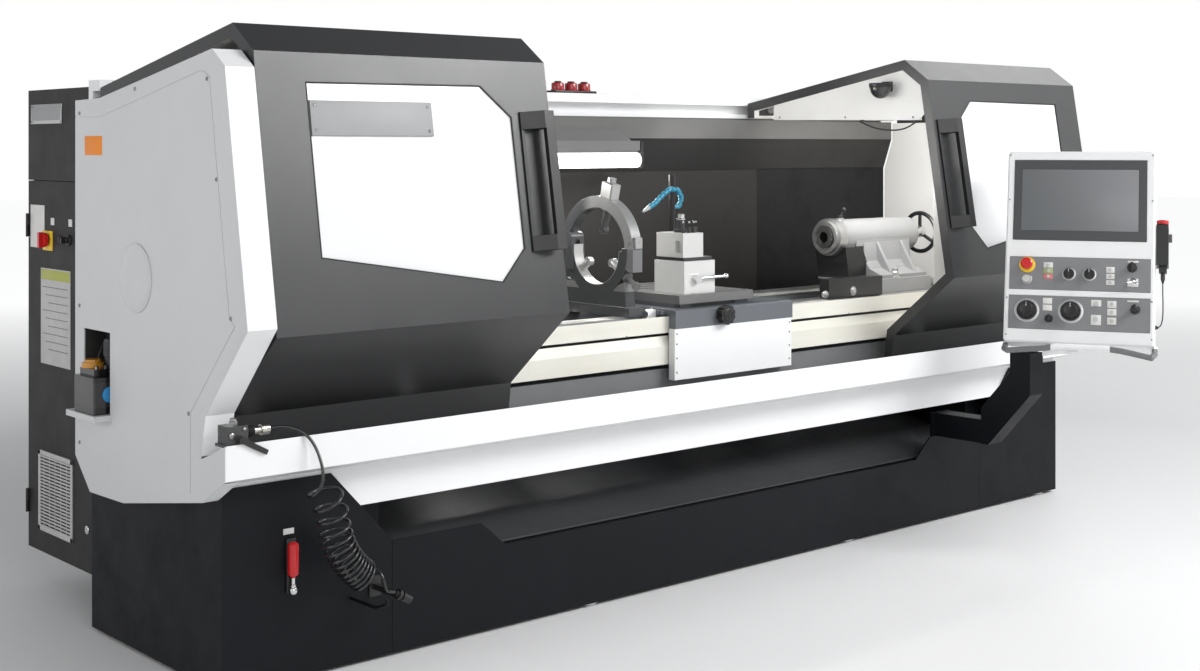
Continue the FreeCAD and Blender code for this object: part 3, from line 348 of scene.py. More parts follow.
# end cover: pale grey side sheet, white returned rim
M = Mat("end_cover_paint")
x, y, z = M.xyz()
c = M.mix(M.gt(x, M.wx(-46.5)), PALE, WHITE)
# painted shade: the faces of the recess round the lubricator are painted near black
c = M.mix(M.both(M.gt(x, M.wx(-44)), M.lt(x, M.wx(24)), M.gt(y, M.wy(590)), M.lt(y, M.wy(788)), M.gt(z, M.wz(685)), M.lt(z, M.wz(940))), c, (0.035, 0.034, 0.033))
use("end_cover", finish_surface(M, c, rough=0.42, var=0.02, grain=650, gstr=0.10, wear=0.15, wearcol=(0.45, 0.45, 0.45), coat=0.1, coatr=0.3, smudge=0.12))

# bed: painted casting, ground way tops
M = Mat("bed_casting")
x, y, z = M.xyz()
way = M.gt(z, M.wz(870))
c = M.mix(way, (0.16, 0.165, 0.17), (0.45, 0.45, 0.44))
m_bed = finish_surface(M, c, rough=0.40, var=0.08, grain=260, gstr=0.35, wear=0.3, wearcol=(0.45, 0.45, 0.45), metal=way, smudge=0.2)
use("bed", m_bed)

# bed covers: light steel with a long brushed grain and faint stains
M = Mat("bed_cover_steel")
st = M.rng(M.noise(1.0, 5, 0.65, stretch=(1.2, 9, 9)), 0.35, 0.7, 0.0, 1.0)
c = M.mix(st, (0.78, 0.77, 0.715), (0.70, 0.685, 0.60))
use("bed_covers", finish_surface(M, c, rough=0.36, var=0.05, metal=0.0, lines=(3, 260, 260), lstr=0.15, gdist=0.0004, wear=0.2, smudge=0.25))

# headstock, tailstock castings
M = Mat("silver_casting")
m_cast = finish_surface(M, (0.38, 0.385, 0.39), rough=0.38, var=0.05, grain=240, gstr=0.35, gdist=0.001, wear=0.25, wearcol=(0.5, 0.5, 0.5), coat=0.2)
use("headstock", m_cast)

M = Mat("tailstock_paint")
x, y, z = M.xyz()
r = M.radius(400, 1115)
block = M.both(M.lt(y, M.wy(255.5)), M.lt(x, M.wx(3072.5)), M.lt(z, M.wz(964.5)))
side = M.both(M.gt(y, M.wy(317)), M.lt(y, M.wy(483)))
neck = M.both(side, M.lt(x, M.wx(3112.5)), M.lt(z, M.wz(1077)), M.gt(r, 0.0765), M.gt(z, M.wz(947)))
neck = M.math("SUBTRACT", neck, M.both(M.gt(x, M.wx(3105.5)), M.gt(z, M.wz(1017))), clamp=True)
# the base block and the bracket under the barrel are dark grey paint, darkened further to near black as painted shade,
# most of all in the throat under the barrel
c = M.mix(M.either(block, neck), (0.26, 0.262, 0.265), (0.010, 0.0105, 0.011))
nose = M.lt(x, M.wx(3002))
face = M.both(nose, M.lt(r, 0.0775))
c = M.mix(face, c, (0.50, 0.50, 0.495))
use("tailstock", finish_surface(M, c, rough=0.36, var=0.05, grain=260, gstr=0.28, gdist=0.001, wear=0.25, wearcol=(0.55, 0.55, 0.55), metal=face, coat=0.2))


def turned(name, cy, cz, col=(0.58, 0.58, 0.575), rough=0.26, ringscale=900.0, dark=None, darkr=None):
    """Turned steel: rings about the X axis through (cy, cz)."""
    M = Mat(name)
    r = M.radius(cy, cz)
    x, y, z = M.xyz()
    cx = M.n("ShaderNodeCombineXYZ")
    M.link(M.math("MULTIPLY", r, ringscale), cx.inputs[0])
    M.link(M.math("MULTIPLY", x, ringscale), cx.inputs[1])
    nz = M.n("ShaderNodeTexNoise")
    nz.inputs["Scale"].default_value = 1.0
    nz.inputs["Detail"].default_value = 2.0
    M.link(cx.outputs[0], nz.inputs["Vector"])
    c = M.mix(M.rng(M.noise(20, 4), 0.3, 0.7, 0, 1), col, tuple(v * 0.86 for v in col))
    if dark is not None:
        c = M.mix(M.lt(r, darkr), c, dark)
    bv = M.n("ShaderNodeBevel"); bv.samples = 3
    bv.inputs["Radius"].default_value = 0.001
    bp = M.n("ShaderNodeBump")
    bp.inputs["Strength"].default_value = 0.22
    bp.inputs["Distance"].default_value = 0.0004
    M.link(nz.outputs[0], bp.inputs["Height"])
    M.link(bv.outputs[0], bp.inputs["Normal"])
    M.link(bp.outputs[0], M.b.inputs["Normal"])
    M.put(M.b.inputs["Base Color"], c)
    M.link(M.rng(M.noise(12, 5), 0.3, 0.7, rough - 0.06, rough + 0.10), M.b.inputs["Roughness"])
    M.b.inputs["Metallic"].default_value = 1.0
    return M.m


use("spindle", turned("turned_spindle", 400, 1115))
use("chuck", turned("turned_chuck", 400, 1115, col=(0.50, 0.50, 0.50)))
use("quill", turned("turned_quill", 400, 1115, rough=0.2))

# handwheel: black rim, steel hub
M = Mat("handwheel_black")
r = M.radius(400, 1115)
hub = M.lt(r, 0.0235)
c = M.mix(hub, (0.010, 0.010, 0.011), (0.5, 0.5, 0.5))
use("handwheel", finish_surface(M, c, rough=0.28, var=0.08, grain=500, gstr=0.1, metal=hub, coat=0.4, coatr=0.12))

# saddle knob
M = Mat("knob_black")
use("saddle_knob", finish_surface(M, (0.012, 0.012, 0.013), rough=0.32, var=0.1, grain=900, gstr=0.2, wear=0.2, wearcol=(0.1, 0.1, 0.1)))

# cross slide: ground plate on painted dovetails
M = Mat("cross_slide_steel")
x, y, z = M.xyz()
top = M.gt(z, M.wz(923.5))
c = M.mix(top, (0.075, 0.08, 0.088), (0.17, 0.17, 0.168))
use("cross_slide", finish_surface(M, c, rough=0.40, var=0.10, lines=(5, 300, 300), lstr=0.2, gdist=0.0004, metal=M.math("MULTIPLY", top, 0.3), wear=0.45, wearcol=(0.6, 0.6, 0.59), smudge=0.2))

# tool holder: pale ground blocks, dark joint and clamp screws
M = Mat("tool_block")
x, y, z = M.xyz()
darkz = M.either(M.gt(z, M.wz(1174.3)), M.both(M.gt(z, M.wz(1073)), M.lt(z, M.wz(1086))))
up_blk = M.gt(z, M.wz(1086))
c = M.mix(up_blk, (0.66, 0.66, 0.65), (0.62, 0.62, 0.61))
c = M.mix(darkz, c, (0.05, 0.05, 0.052))
use("tool_holder", finish_surface(M, c, rough=0.34, var=0.06, metal=0.20, lines=(300, 300, 8), lstr=0.16, gdist=0.0004, wear=0.4, wearcol=(0.6, 0.6, 0.6), smudge=0.15))

# coolant post: black post, blue jointed hose, pale nozzle
M = Mat("coolant_post_mat")
x, y, z = M.xyz()
r = M.radius(386, 0, axis="z", cx=2062)
post = M.either(M.lt(r, 0.0126), M.lt(z, M.wz(968)))
tip = M.lt(x, M.wx(1928.5))
c = M.mix(post, (0.030, 0.25, 0.38), (0.006, 0.006, 0.0065))
c = M.mix(tip, c, (0.40, 0.42, 0.42))
use("coolant_post", finish_surface(M, c, rough=0.34, var=0.06, grain=500, gstr=0.1))

# steady rest: dark casting, bright jaws and screws
M = Mat("steady_casting")
x, y, z = M.xyz()
r = M.radius(400, 1115)
high = M.gt(z, M.wz(975))
jaw = M.both(high, M.either(M.lt(r, 0.1235), M.gt(r, 0.1670)))
hinge = M.both(M.gt(y, M.wy(505)), M.gt(z, M.wz(1000)))
front = M.both(M.lt(y, M.wy(270)), M.gt(z, M.wz(1045)))
jaw = M.math("MULTIPLY", jaw, M.math("SUBTRACT", 1.0, M.either(hinge, front)))
c = M.mix(jaw, (0.050, 0.052, 0.055), (0.27, 0.27, 0.268))
c = M.mix(M.math("MULTIPLY", M.lt(r, 0.1235), high), c, (0.46, 0.46, 0.455))
c = M.mix(M.math("MULTIPLY", front, M.gt(r, 0.1665)), c, (0.16, 0.16, 0.165))
use("steady_base", finish_surface(M, c, rough=0.32, var=0.10, grain=300, gstr=0.3, wear=0.7, wearcol=(0.55, 0.55, 0.55), metal=M.math("MULTIPLY", jaw, 0.5), coat=0.2))
M = Mat("steady_arm_casting")
x, y, z = M.xyz()
r = M.radius(400, 1115)
tip = M.gt(r, 0.198)
c = M.mix(tip, (0.22, 0.222, 0.224), (0.40, 0.40, 0.395))
# painted shade: the rear of the bow fades to near black from y 425 to 470 mm
c = M.mix(M.rng(y, M.wy(425), M.wy(470), 0.0, 1.0), c, (0.050, 0.052, 0.055))
c = M.mix(M.lt(r, 0.152), c, (0.060, 0.060, 0.062))
use("steady_arm", finish_surface(M, c, rough=0.30, var=0.10, grain=300, gstr=0.3, wear=0.5, wearcol=(0.42, 0.42, 0.42), metal=M.math("MULTIPLY", tip, 0.5), coat=0.25))

# back wall: two panels of different tone; the hood above it is paler along its upper band, a painted highlight for the
# light falling on the hood's top
M = Mat("back_wall_paint")
x, y, z = M.xyz()
c = M.mix(M.gt(x, M.wx(3030)), (0.019, 0.018, 0.017), (0.0035, 0.0035, 0.0045))
hood = M.gt(z, M.wz(1392))
front = M.gt(z, M.wz(1521))
# painted highlight: the hood's upper band above z 1521 is pale, its lower band dark like the wall
c = M.mix(hood, c, M.mix(front, (0.022, 0.0215, 0.0215), (0.135, 0.134, 0.13)))
use("back_wall", finish_surface(M, c, spec=0.3, rough=0.48, var=0.10, vscale=1.5, grain=500, gstr=0.2, wear=0.15, smudge=0.2))

# tail guard: white end wall
use("tail_guard", m_white_in)

# lamp: lit tube in a grey housing with dark sockets
M = Mat("lamp_tube")
x, y, z = M.xyz()
r = M.radius(725, 1434)
lit = M.both(M.lt(r, 0.0296), M.gt(x, M.wx(1166)), M.lt(x, M.wx(2194)))
sock = M.either(M.lt(x, M.wx(1164.5)), M.gt(x, M.wx(2195.5)))
c = M.mix(lit, (0.16, 0.16, 0.16), (0.95, 0.95, 0.95))
c = M.mix(sock, c, (0.02, 0.02, 0.02))
use("lamp", finish_surface(M, c, rough=0.35, var=0.04, grain=400, gstr=0.1))
M.b.inputs["Emission Color"].default_value = (1.0, 0.99, 0.97, 1)
M.link(M.math("MULTIPLY", lit, 5.0), M.b.inputs["Emission Strength"])

# lubricator: black body, orange-yellow filler cap, clear-ish dark reservoir band
M = Mat("lubricator_mat")
x, y, z = M.xyz()
cap = M.gt(z, M.wz(822.4))
band = M.both(M.gt(z, M.wz(712)), M.lt(z, M.wz(786)))
c = M.mix(band, (0.014, 0.014, 0.015), (0.030, 0.028, 0.026))
c = M.mix(cap, c, (0.56, 0.25, 0.022))
use("lubricator", finish_surface(M, c, rough=0.22, var=0.1, grain=300, gstr=0.1, coat=0.4, coatr=0.1))

# air valve: cast body, nickel coupling
M = Mat("air_valve_mat")
x, y, z = M.xyz()
cpl = M.gt(x, M.wx(55.5))
c = M.mix(cpl, (0.045, 0.045, 0.047), (0.52, 0.50, 0.45))
use("air_valve", finish_surface(M, c, rough=0.28, var=0.1, grain=350, gstr=0.3, metal=cpl, wear=0.3))

# main switch: red handle, dark collar
M = Mat("main_switch_mat")
x, y, z = M.xyz()
c = M.mix(M.gt(x, M.wx(52)), (0.60, 0.010, 0.012), (0.02, 0.02, 0.02))
use("main_switch", finish_surface(M, c, rough=0.3, var=0.04, grain=400, gstr=0.1, coat=0.3))

# pendant housing: white case, grey bar handle, dark swivel neck
M = Mat("pendant_paint")
u, py, pw = M.local()
bar = M.either(M.lt(pw, -0.5525), M.both(M.lt(py, 0.0024), M.lt(pw, -0.5475)))
bar = M.both(bar, M.lt(py, 0.0190))
bar = M.math("SUBTRACT", bar, M.both(M.gt(u, -0.092), M.lt(u, 0.118)), clamp=True)
bar = M.either(bar, M.both(M.lt(pw, -0.5485), M.gt(M.math("ABSOLUTE", M.math("SUBTRACT", u, 0.005)), 0.248)))
c = M.mix(bar, WHITE, (0.15, 0.155, 0.16))
use("pendant_housing", finish_surface(M, c, rough=0.36, var=0.02, grain=800, gstr=0.08, wear=0.1, coat=0.2, coatr=0.2))

# screen: dark bezel with a grey glossy display carrying a painted reflection, a diagonal light-to-dark ramp
M = Mat("screen_mat")
u, py, pw = M.local()
disp = M.both(M.gt(u, -0.2125), M.lt(u, 0.2125), M.gt(pw, -0.119), M.lt(pw, 0.119))
# painted reflection: the display is lighter towards its upper right along a diagonal ramp
painted_reflection_ramp = M.rng(M.math("ADD", u, pw), -0.30, 0.30, 0.0, 1.0)
dc = M.mix(painted_reflection_ramp, (0.150, 0.160, 0.165), (0.205, 0.205, 0.215))
c = M.mix(disp, (0.062, 0.064, 0.067), dc)
m_scr = finish_surface(M, c, rough=0.2, var=0.02, grain=500, gstr=0.03)
M.link(M.mixf(disp, 0.32, 0.12), M.b.inputs["Roughness"])
use("screen", m_scr)

# emergency stop: red mushroom on a dark stem
M = Mat("estop_mat")
u, py, pw = M.local()
c = M.mix(M.lt(py, -0.0188), (0.02, 0.02, 0.02), (0.55, 0.010, 0.012))
use("estop", finish_surface(M, c, rough=0.28, var=0.04, grain=400, gstr=0.08, coat=0.3))

# hand unit: black body, red stop cap, grey wheel
M = Mat("hand_unit_mat")
u, py, pw = M.local()
c = M.mix(M.gt(pw, -0.0782), (0.016, 0.016, 0.017), (0.50, 0.012, 0.014))
c = M.mix(M.gt(u, 0.3182), c, (0.10, 0.10, 0.10))
use("hand_unit", finish_surface(M, c, rough=0.38, var=0.06, grain=700, gstr=0.2))


# ------------------------------------------------------------------ mesh helpers
class Build:
    """Collects shapes into one mesh; places are given by a map T from local millimetres to the frame."""

    def __init__(self, T=W):
        self.bm = bmesh.new()
        self.T = T

    def _add(self, pts, faces, mi=0, bevel=0.0, segs=2):
        b = bmesh.new()
        vs = [b.verts.new(self.T(*p)) for p in pts]
        for f in faces:
            try:
                b.faces.new([vs[i] for i in f])
            except ValueError:
                pass
        bmesh.ops.recalc_face_normals(b, faces=b.faces)
        if bevel:
            ed = [e for e in b.edges if len(e.link_faces) == 2 and e.calc_face_angle(0) > math.radians(28)]
            bmesh.ops.bevel(b, geom=ed, offset=bevel / 1000.0, segments=segs, profile=0.5, affect="EDGES", clamp_overlap=True)
        for f in b.faces:
            f.material_index = mi
            f.smooth = True
        me = bpy.data.meshes.new("tmp")
        b.to_mesh(me)
        b.free()
        n0 = len(self.bm.faces)
        self.bm.from_mesh(me)
        bpy.data.meshes.remove(me)
        return n0

    def box(self, x0, x1, y0, y1, z0, z1, mi=0, bevel=1.0, segs=2):
        p = [(x, y, z) for x in (x0, x1) for y in (y0, y1) for z in (z0, z1)]
        f = [(0, 1, 3, 2), (4, 6, 7, 5), (0, 4, 5, 1), (2, 3, 7, 6), (0, 2, 6, 4), (1, 5, 7, 3)]
        self._add(p, f, mi, bevel, segs)
        return self

    def prism(self, pts, vec, mi=0, bevel=0.6, segs=2):
        n = len(pts)
        q = [tuple(a + b for a, b in zip(p, vec)) for p in pts]
        f = [tuple(range(n)), tuple(range(2 * n - 1, n - 1, -1))] + [(i, (i + 1) % n, n + (i + 1) % n, n + i) for i in range(n)]
        self._add(list(pts) + q, f, mi, bevel, segs)
        return self

    def lathe(self, c, axis, prof, n=32, mi=0, cap=True):
        """Turned shape: prof is (radius, along) about the local axis x, y or z through c."""
        pts, faces = [], []
        k = {"x": 0, "y": 1, "z": 2}[axis]
        for r, h in prof:
            for i in range(n):
                a = 2 * math.pi * i / n
                p = [0.0, 0.0, 0.0]
                p[k] = h
                p[(k + 1) % 3] = r * math.cos(a)
                p[(k + 2) % 3] = r * math.sin(a)
                pts.append((c[0] + p[0], c[1] + p[1], c[2] + p[2]))
        for j in range(len(prof) - 1):
            for i in range(n):
                faces.append((j * n + i, j * n + (i + 1) % n, (j + 1) * n + (i + 1) % n, (j + 1) * n + i))
        if cap:
            faces.append(tuple(range(n)))
            faces.append(tuple((len(prof) - 1) * n + i for i in range(n)))
        self._add(pts, faces, mi)
        return self

    def tube(self, path, r, mi=0, n=14):
        """Round bar along smooth points (local mm)."""
        P = [Vector(p) for p in path]
        pts, faces = [], []
        up = None
        for i, p in enumerate(P):
            d = (P[min(i + 1, len(P) - 1)] - P[max(i - 1, 0)]).normalized()
            if up is None:
                up = Vector((0, 0, 1)) if abs(d.z) < 0.9 else Vector((1, 0, 0))
            a = d.cross(up).normalized()
            up = a.cross(d).normalized()
            for k in range(n):
                t = 2 * math.pi * k / n
                q = p + (a * math.cos(t) + up * math.sin(t)) * (r if not callable(r) else r(i / (len(P) - 1)))
                pts.append(tuple(q))
        for j in range(len(P) - 1):
            for k in range(n):
                faces.append((j * n + k, j * n + (k + 1) % n, (j + 1) * n + (k + 1) % n, (j + 1) * n + k))
        faces.append(tuple(range(n)))
        faces.append(tuple((len(P) - 1) * n + k for k in range(n)))
        self._add(pts, faces, mi)
        return self

    def done(self, name, mats, body, sharp=38):
        me = bpy.data.meshes.new(name)
        self.bm.to_mesh(me)
        self.bm.free()
        for m in (mats if isinstance(mats, (list, tuple)) else [mats]):
            me.materials.append(m)
        me.set_sharp_from_angle(angle=math.radians(sharp))
        o = bpy.data.objects.new(name, me)
        SC.collection.objects.link(o)
        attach(o, body)
        return o


def dome(r, h, lip=0.0, n=5):
    """Profile of a domed head of radius r and height h, standing on 0."""
    return [(r, 0.0), (r, lip)] + [(r * math.cos(a), lip + (h - lip) * math.sin(a)) for a in [math.pi / 2 * k / n for k in range(1, n)]] + [(0.001, h)]


def flip(prof, s=-1.0):
    return [(r, s * h) for r, h in prof]


def screw(b, c, axis, r=4.0, h=2.6, s=1.0, mi=0, socket=True):
    """Button-head screw with a socket, standing off the surface along s times the axis."""
    p = dome(r, h, 0.4, 5)
    if socket:
        p = p[:-2] + [(r * 0.45, h * 0.97), (r * 0.45, h * 0.45), (0.001, h * 0.45)]
    b.lathe(c, axis, [(q, s * t) for q, t in p], n=14, mi=mi)


# ------------------------------------------------------------------ coiled air hose
def nurbs(name, pts, bevel=0.0):
    cu = bpy.data.curves.new(name, "CURVE")
    cu.dimensions = "3D"
    sp = cu.splines.new("NURBS")
    sp.points.add(len(pts) - 1)
    for p, q in zip(sp.points, pts):
        p.co = (*q, 1.0)
    sp.order_u = 3
    sp.use_endpoint_u = True
    sp.resolution_u = 6
    cu.bevel_depth = bevel
    cu.bevel_resolution = 4
    cu.use_fill_caps = True
    o = bpy.data.objects.new(name, cu)
    SC.collection.objects.link(o)
    return o


def polyline(o):
    bpy.context.view_layer.update()
    me = bpy.data.meshes.new_from_object(o.evaluated_get(bpy.context.evaluated_depsgraph_get()))
    p = [v.co.copy() for v in me.vertices]
    bpy.data.meshes.remove(me)
    return p


coil_axis = [(233, -125, 565), (266, -125, 492), (278, -125, 424), (298, -125, 366), (338, -125, 310), (404, -125, 258), (480, -125, 215)]
ax = nurbs("coil_axis", [W(*p) for p in coil_axis])
ax.data.splines[0].resolution_u = 60
line = polyline(ax)
bpy.data.objects.remove(ax)
acc = [0.0]
for i in range(1, len(line)):
    acc.append(acc[-1] + (line[i] - line[i - 1]).length)
TOTAL = acc[-1]


def axis_point(s):
    s = min(max(s, 0.0), TOTAL)
    k = next(i for i in range(1, len(acc)) if acc[i] >= s - 1e-12)
    f = (s - acc[k - 1]) / max(1e-9, acc[k] - acc[k - 1])
    return line[k - 1].lerp(line[k], f)


def on_axis(s):
    return axis_point(s), (axis_point(s + 0.004) - axis_point(s - 0.004)).normalized()


def pitch(s):
    """Spacing of the coil's turns along its axis, in metres: slack at the top, closed below."""
    t = s * 1000.0
    tab = [(0, 125), (16, 76), (40, 50), (110, 41), (170, 25), (220, 17.5), (260, 14.0), (500, 12.6)]
    for (a, p), (b, q) in zip(tab, tab[1:]):
        if t <= b:
            return (p + (q - p) * (t - a) / (b - a)) / 1000.0
    return 0.0126


# the hose falls from the fitting and swings into the first turn
lead = [(104, -68, 720), (112, -69, 721), (136, -76, 723), (168, -94, 718), (194.5, -111.8, 700), (211.4, -126.7, 672.7),
        (219.2, -139.5, 642.6), (221.3, -152.1, 613.6), (219.5, -161, 586.3), (213, -162.6, 560.9), (204.4, -151.6, 542),
        (199.3, -133.2, 531.2), (201.7, -112.8, 527.2), (212.4, -95.3, 527.4), (229.1, -83.9, 529.8), (248.8, -80.4, 533.4)]
# the last turn opens and runs out along the axis into the end fitting
tail = [(388, -98.6, 316.4), (393.7, -116.8, 322), (393.9, -136.7, 320.8), (388.7, -154.2, 313), (379.3, -165.9, 300),
        (367.9, -169.6, 284.2), (356.7, -164.4, 268.6), (348.2, -151.4, 256.2), (345.1, -133.2, 248.7), (347.7, -113.4, 247.7),
        (355.8, -95.7, 253), (368.5, -83.4, 263.9), (383.4, -80.9, 277.8), (397.7, -88.3, 289.6), (409.2, -102.4, 295.4),
        (417.4, -118.6, 293.4), (422.6, -132.6, 284.4), (426.2, -141.2, 270.8), (429.9, -143.6, 255.7), (434.9, -140.7, 242.4),
        (442, -135.1, 232.4), (450.7, -129.6, 226), (460.4, -125.9, 222.1), (470.8, -125, 219.1), (477.4, -125, 216.5), (480, -125, 215)]
R_COIL = 0.0446
STEP = 2 * math.pi / 14
helix, s, ph = [], 0.0, math.radians(-62)
for k in range(176):
    if k >= 7:
        c0, tg = on_axis(s)
        n1 = Vector((tg.z, 0, -tg.x)).normalized()
        helix.append(c0 + (n1 * math.cos(ph) + Vector((0, 1, 0)) * math.sin(ph)) * R_COIL)
    ph += STEP
    s += pitch(s) * STEP / (2 * math.pi)
HOSE = nurbs("air_hose", [W(*p) for p in lead] + helix + [W(*p) for p in tail], bevel=0.0045)
HOSE.data.materials.append(m_hose)
pl = polyline_len = None
cl = bpy.data.objects.new("cl", HOSE.data.copy())
cl.data.bevel_depth = 0.0
SC.collection.objects.link(cl)
pts = polyline(cl)
bpy.data.objects.remove(cl)
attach(HOSE, "machine")
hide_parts("hose_lead", "hose_coil")

# ------------------------------------------------------------------ end cover details
b = Build()
for y_, z_ in ((-7, 1671), (-138, 1035), (98, 756), (812, 1590), (812, 1000), (812, 580), (430, 1655), (-60, 1400)):
    screw(b, (-48, y_, z_), "x", r=6.0, h=3.5, s=-1)
b.done("cover_screws", m_screw, "machine")
b = Build()
b.box(-49.0, -47.6, 652, 774, 1462, 1520, bevel=0.5)
b.done("cover_label", m_orange, "machine")
b = Build()
b.lathe((-51, 421, 1108), "x", [(100.5, 0.5), (100.5, -0.6), (97.5, -1.6), (95, -0.4), (60, -0.5), (0.001, -0.6)], n=64)
b.done("cover_cap", use_pale := simple("cover_cap_paint", PALE, rough=0.42, var=0.02, grain=650, gstr=0.1), "machine")
b = Build()
b.lathe((-42, 612, 749), "y", [(24, 1.0), (24, -6), (21, -9), (0.001, -9.5)], n=36)
b.done("lubricator_gauge", m_blue, "machine")
b = Build()
b.lathe((-4, 688, 822), "z", [(22, -1), (22, 5), (18, 7), (18, 30), (21, 32), (21, 78), (18, 84), (9, 86), (0.001, 86)], n=32, mi=0)
for k in range(8):
    b.lathe((-4, 688, 860 + 5 * k), "z", [(21, -0.4), (22.6, 0), (22.6, 1.8), (21, 2.2)], n=32, mi=0, cap=False)
b.lathe((-30, 664, 822), "z", [(6, -1), (6, 6), (4, 8), (0.001, 8)], n=6, mi=1)
b.lathe((-60, 662, 822), "z", [(6, -1), (6, 6), (4, 8), (0.001, 8)], n=6, mi=1)
b.done("lubricator_pump", [m_dark, m_screw], "machine")
b = Build()
b.tube([(-20, 640, 822), (-18, 632, 846), (-8, 622, 868), (8, 612, 880), (20, 606, 892)], 4.0)
b.tube([(-24, 732, 818), (-20, 736, 850), (-4, 744, 880), (20, 750, 900)], 4.0)
b.done("lubricator_pipes", m_rubber, "machine")

# air valve: ribbed nipple, hexagon, top screw and the slotted bracket below it
b = Build()
for k in range(6):
    b.lathe((28 + 4.6 * k, -68, 720), "x", [(12.6, 0), (16.5, 0.8), (16.5, 2.8), (12.6, 3.6)], n=28, mi=0, cap=False)
b.lathe((-4, -68, 742), "z", [(13, -1), (13, 9), (10, 11), (10, 16), (6, 19), (0.001, 19)], n=6, mi=1)
b.lathe((-24, -96, 718), "y", [(9, 1), (9, -4), (6, -6), (0.001, -6)], n=6, mi=1)
b.lathe((14, -96, 732), "y", [(5, 1), (5, -3), (3, -4.5), (0.001, -4.5)], n=14, mi=1)
b.done("valve_nipple", [m_rubber, m_screw], "machine")
b = Build()
b.box(-8, 50, -100, -96.5, 648, 687, mi=0, bevel=0.8)
b.box(-8, 50, -100, -60, 684, 687, mi=0, bevel=0.8)
for xx in (4, 26):
    b.box(xx, xx + 15, -100.6, -99.6, 661, 666, mi=1, bevel=0.3)
b.done("valve_bracket", [m_white, m_blackp], "machine")

# ------------------------------------------------------------------ left door plate, door screws and seals
b = Build(DF)
x0, x1 = 205, 612
s0, s1 = (1518 - 983) / 0.9869, (1616 - 983) / 0.9869
b.box(x0, x1, -3.2, 4.2, s0, s1, bevel=0.8)
for xx in (x0 + 14, x1 - 14):
    for ss in (s0 + 14, s1 - 14):
        screw(b, (xx, -3.2, ss), "y", r=5.0, h=2.2, s=-1, mi=1)
b.done("window_plate", [m_plate, m_screw], "left_door_set")


def sill_fit(win_pts, name, body):
    """Thin rubber bead round a window cut-out, on the door's front face."""
    b = Build(DF)
    pts = [(x, 0.0, (z - 983) / 0.9869) for x, z in win_pts]
    n = len(pts)
    cx = sum(p[0] for p in pts) / n
    cz = sum(p[2] for p in pts) / n
    for i in range(n):
        a, c = pts[i], pts[(i + 1) % n]
        d = Vector((c[0] - a[0], 0, c[2] - a[2]))
        L = d.length
        d.normalize()
        nrm = Vector((-d.z, 0, d.x))
        if nrm.dot(Vector((cx - a[0], 0, cz - a[2]))) < 0:
            nrm = -nrm
        q = []
        for off, yy in ((0, -0.8), (4.0, -0.8), (4.0, 4.0), (0, 4.0)):
            q.append((a[0] + nrm.x * off - d.x * 0.0, yy, a[2] + nrm.z * off))
        b.prism(q, (d.x * L, 0, d.z * L), bevel=0.5)
    b.done(name, m_rubber, body)


WIN = [(198, 1667), (799, 1671), (908, 1577), (910, 1182), (815, 1085), (201, 1184)]
sill_fit(WIN, "left_window_seal", "left_door_set")
sill_fit([(4041 - x, z) for x, z in WIN], "right_window_seal", "right_door_set")

# bolts of the track bars under the doors' roofs
BAR = ((690, 1611.2), (330, 1606.9), (-14, 1603.0))
b = Build()
for y_, z_ in BAR:
    screw(b, (2989, y_, z_), "x", r=4.6, h=3.0, s=-1)
    screw(b, (3015, y_, z_), "x", r=4.6, h=3.0, s=1)
b.done("track_bar_screws", m_screw, "right_door_set")
b = Build()
for y_, z_ in BAR:
    screw(b, (1052, y_, z_), "x", r=4.6, h=3.0, s=1)
b.done("track_bar_screws_left", m_screw, "left_door_set")

# round work lamp on the right door's web: flat cap, domed glass below, on a bracket
b = Build()
LY, LX = 112, 2944
b.lathe((LX, LY, 1739), "z", [(0.001, 0), (43, 0), (45, -2), (45, -15), (43, -18)], n=44, mi=0)
b.lathe((LX, LY, 1721), "z", [(43, 0.5)] + [(42 * math.cos(t), -44 * math.sin(t)) for t in [math.pi / 2 * k / 9 for k in range(1, 9)]] + [(0.001, -44)], n=44, mi=1)
b.box(LX + 36, 2990, LY - 14, LY + 14, 1722, 1737, bevel=2, mi=0)
b.box(2985, 2990, LY - 26, LY + 26, 1706, 1746, bevel=1.5, mi=0)
for k in (-18, 18):
    screw(b, (2985, LY + k, 1740), "x", r=3.2, h=2, s=-1, mi=2)
    screw(b, (2985, LY + k, 1712), "x", r=3.2, h=2, s=-1, mi=2)
b.done("door_lamp", [m_blackp, m_lens, m_screw], "right_door_set")

# roller carriage at the rear of the right door's web, with a fin on top
b = Build()
b.box(2990, 3130, 853, 867.5, 1622, 1670, mi=0, bevel=2)
b.box(3040, 3130, 843, 867.5, 1672, 1680, mi=0, bevel=1.5)
for xx in (3015, 3105):
    b.lathe((xx, 853, 1646), "y", [(17, 0.5), (17, -5), (15, -7), (6, -7), (6, -10), (0.001, -10.5)], n=28, mi=1)
b.done("door_roller_carriage", [m_blackp, m_screw], "right_door_set")

# cable of the door's lamp: clipped to the track bar, sagging between the clips
b = Build()
for y_, z_ in ((238, 1591.5), (-30, 1588)):
    b.box(2976, 2992, y_ - 6, y_ + 6, z_ - 9, z_ + 3, bevel=1.5)
b.done("door_cable_clips", m_blackp, "right_door_set")
DOOR_RUN = [(2983, 238, 1585), (2982, 226, 1581), (2980, 205, 1572), (2978, 160, 1560), (2977, 110, 1553), (2977, 60, 1552), (2978, 22, 1557), (2981, -6, 1568),
            (2983, -20, 1577), (2984, -30, 1582)]


def cable(name, path, dia, body, mat):
    o = nurbs(name, [W(*p) for p in path], bevel=dia / 2000.0)
    o.data.materials.append(mat)
    c2 = bpy.data.objects.new("cl", o.data.copy())
    c2.data.bevel_depth = 0.0
    SC.collection.objects.link(c2)
    pp = polyline(c2)
    bpy.data.objects.remove(c2)
    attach(o, body)
    return o


cable("door_cable", DOOR_RUN, 6.0, "right_door_set", m_rubber)
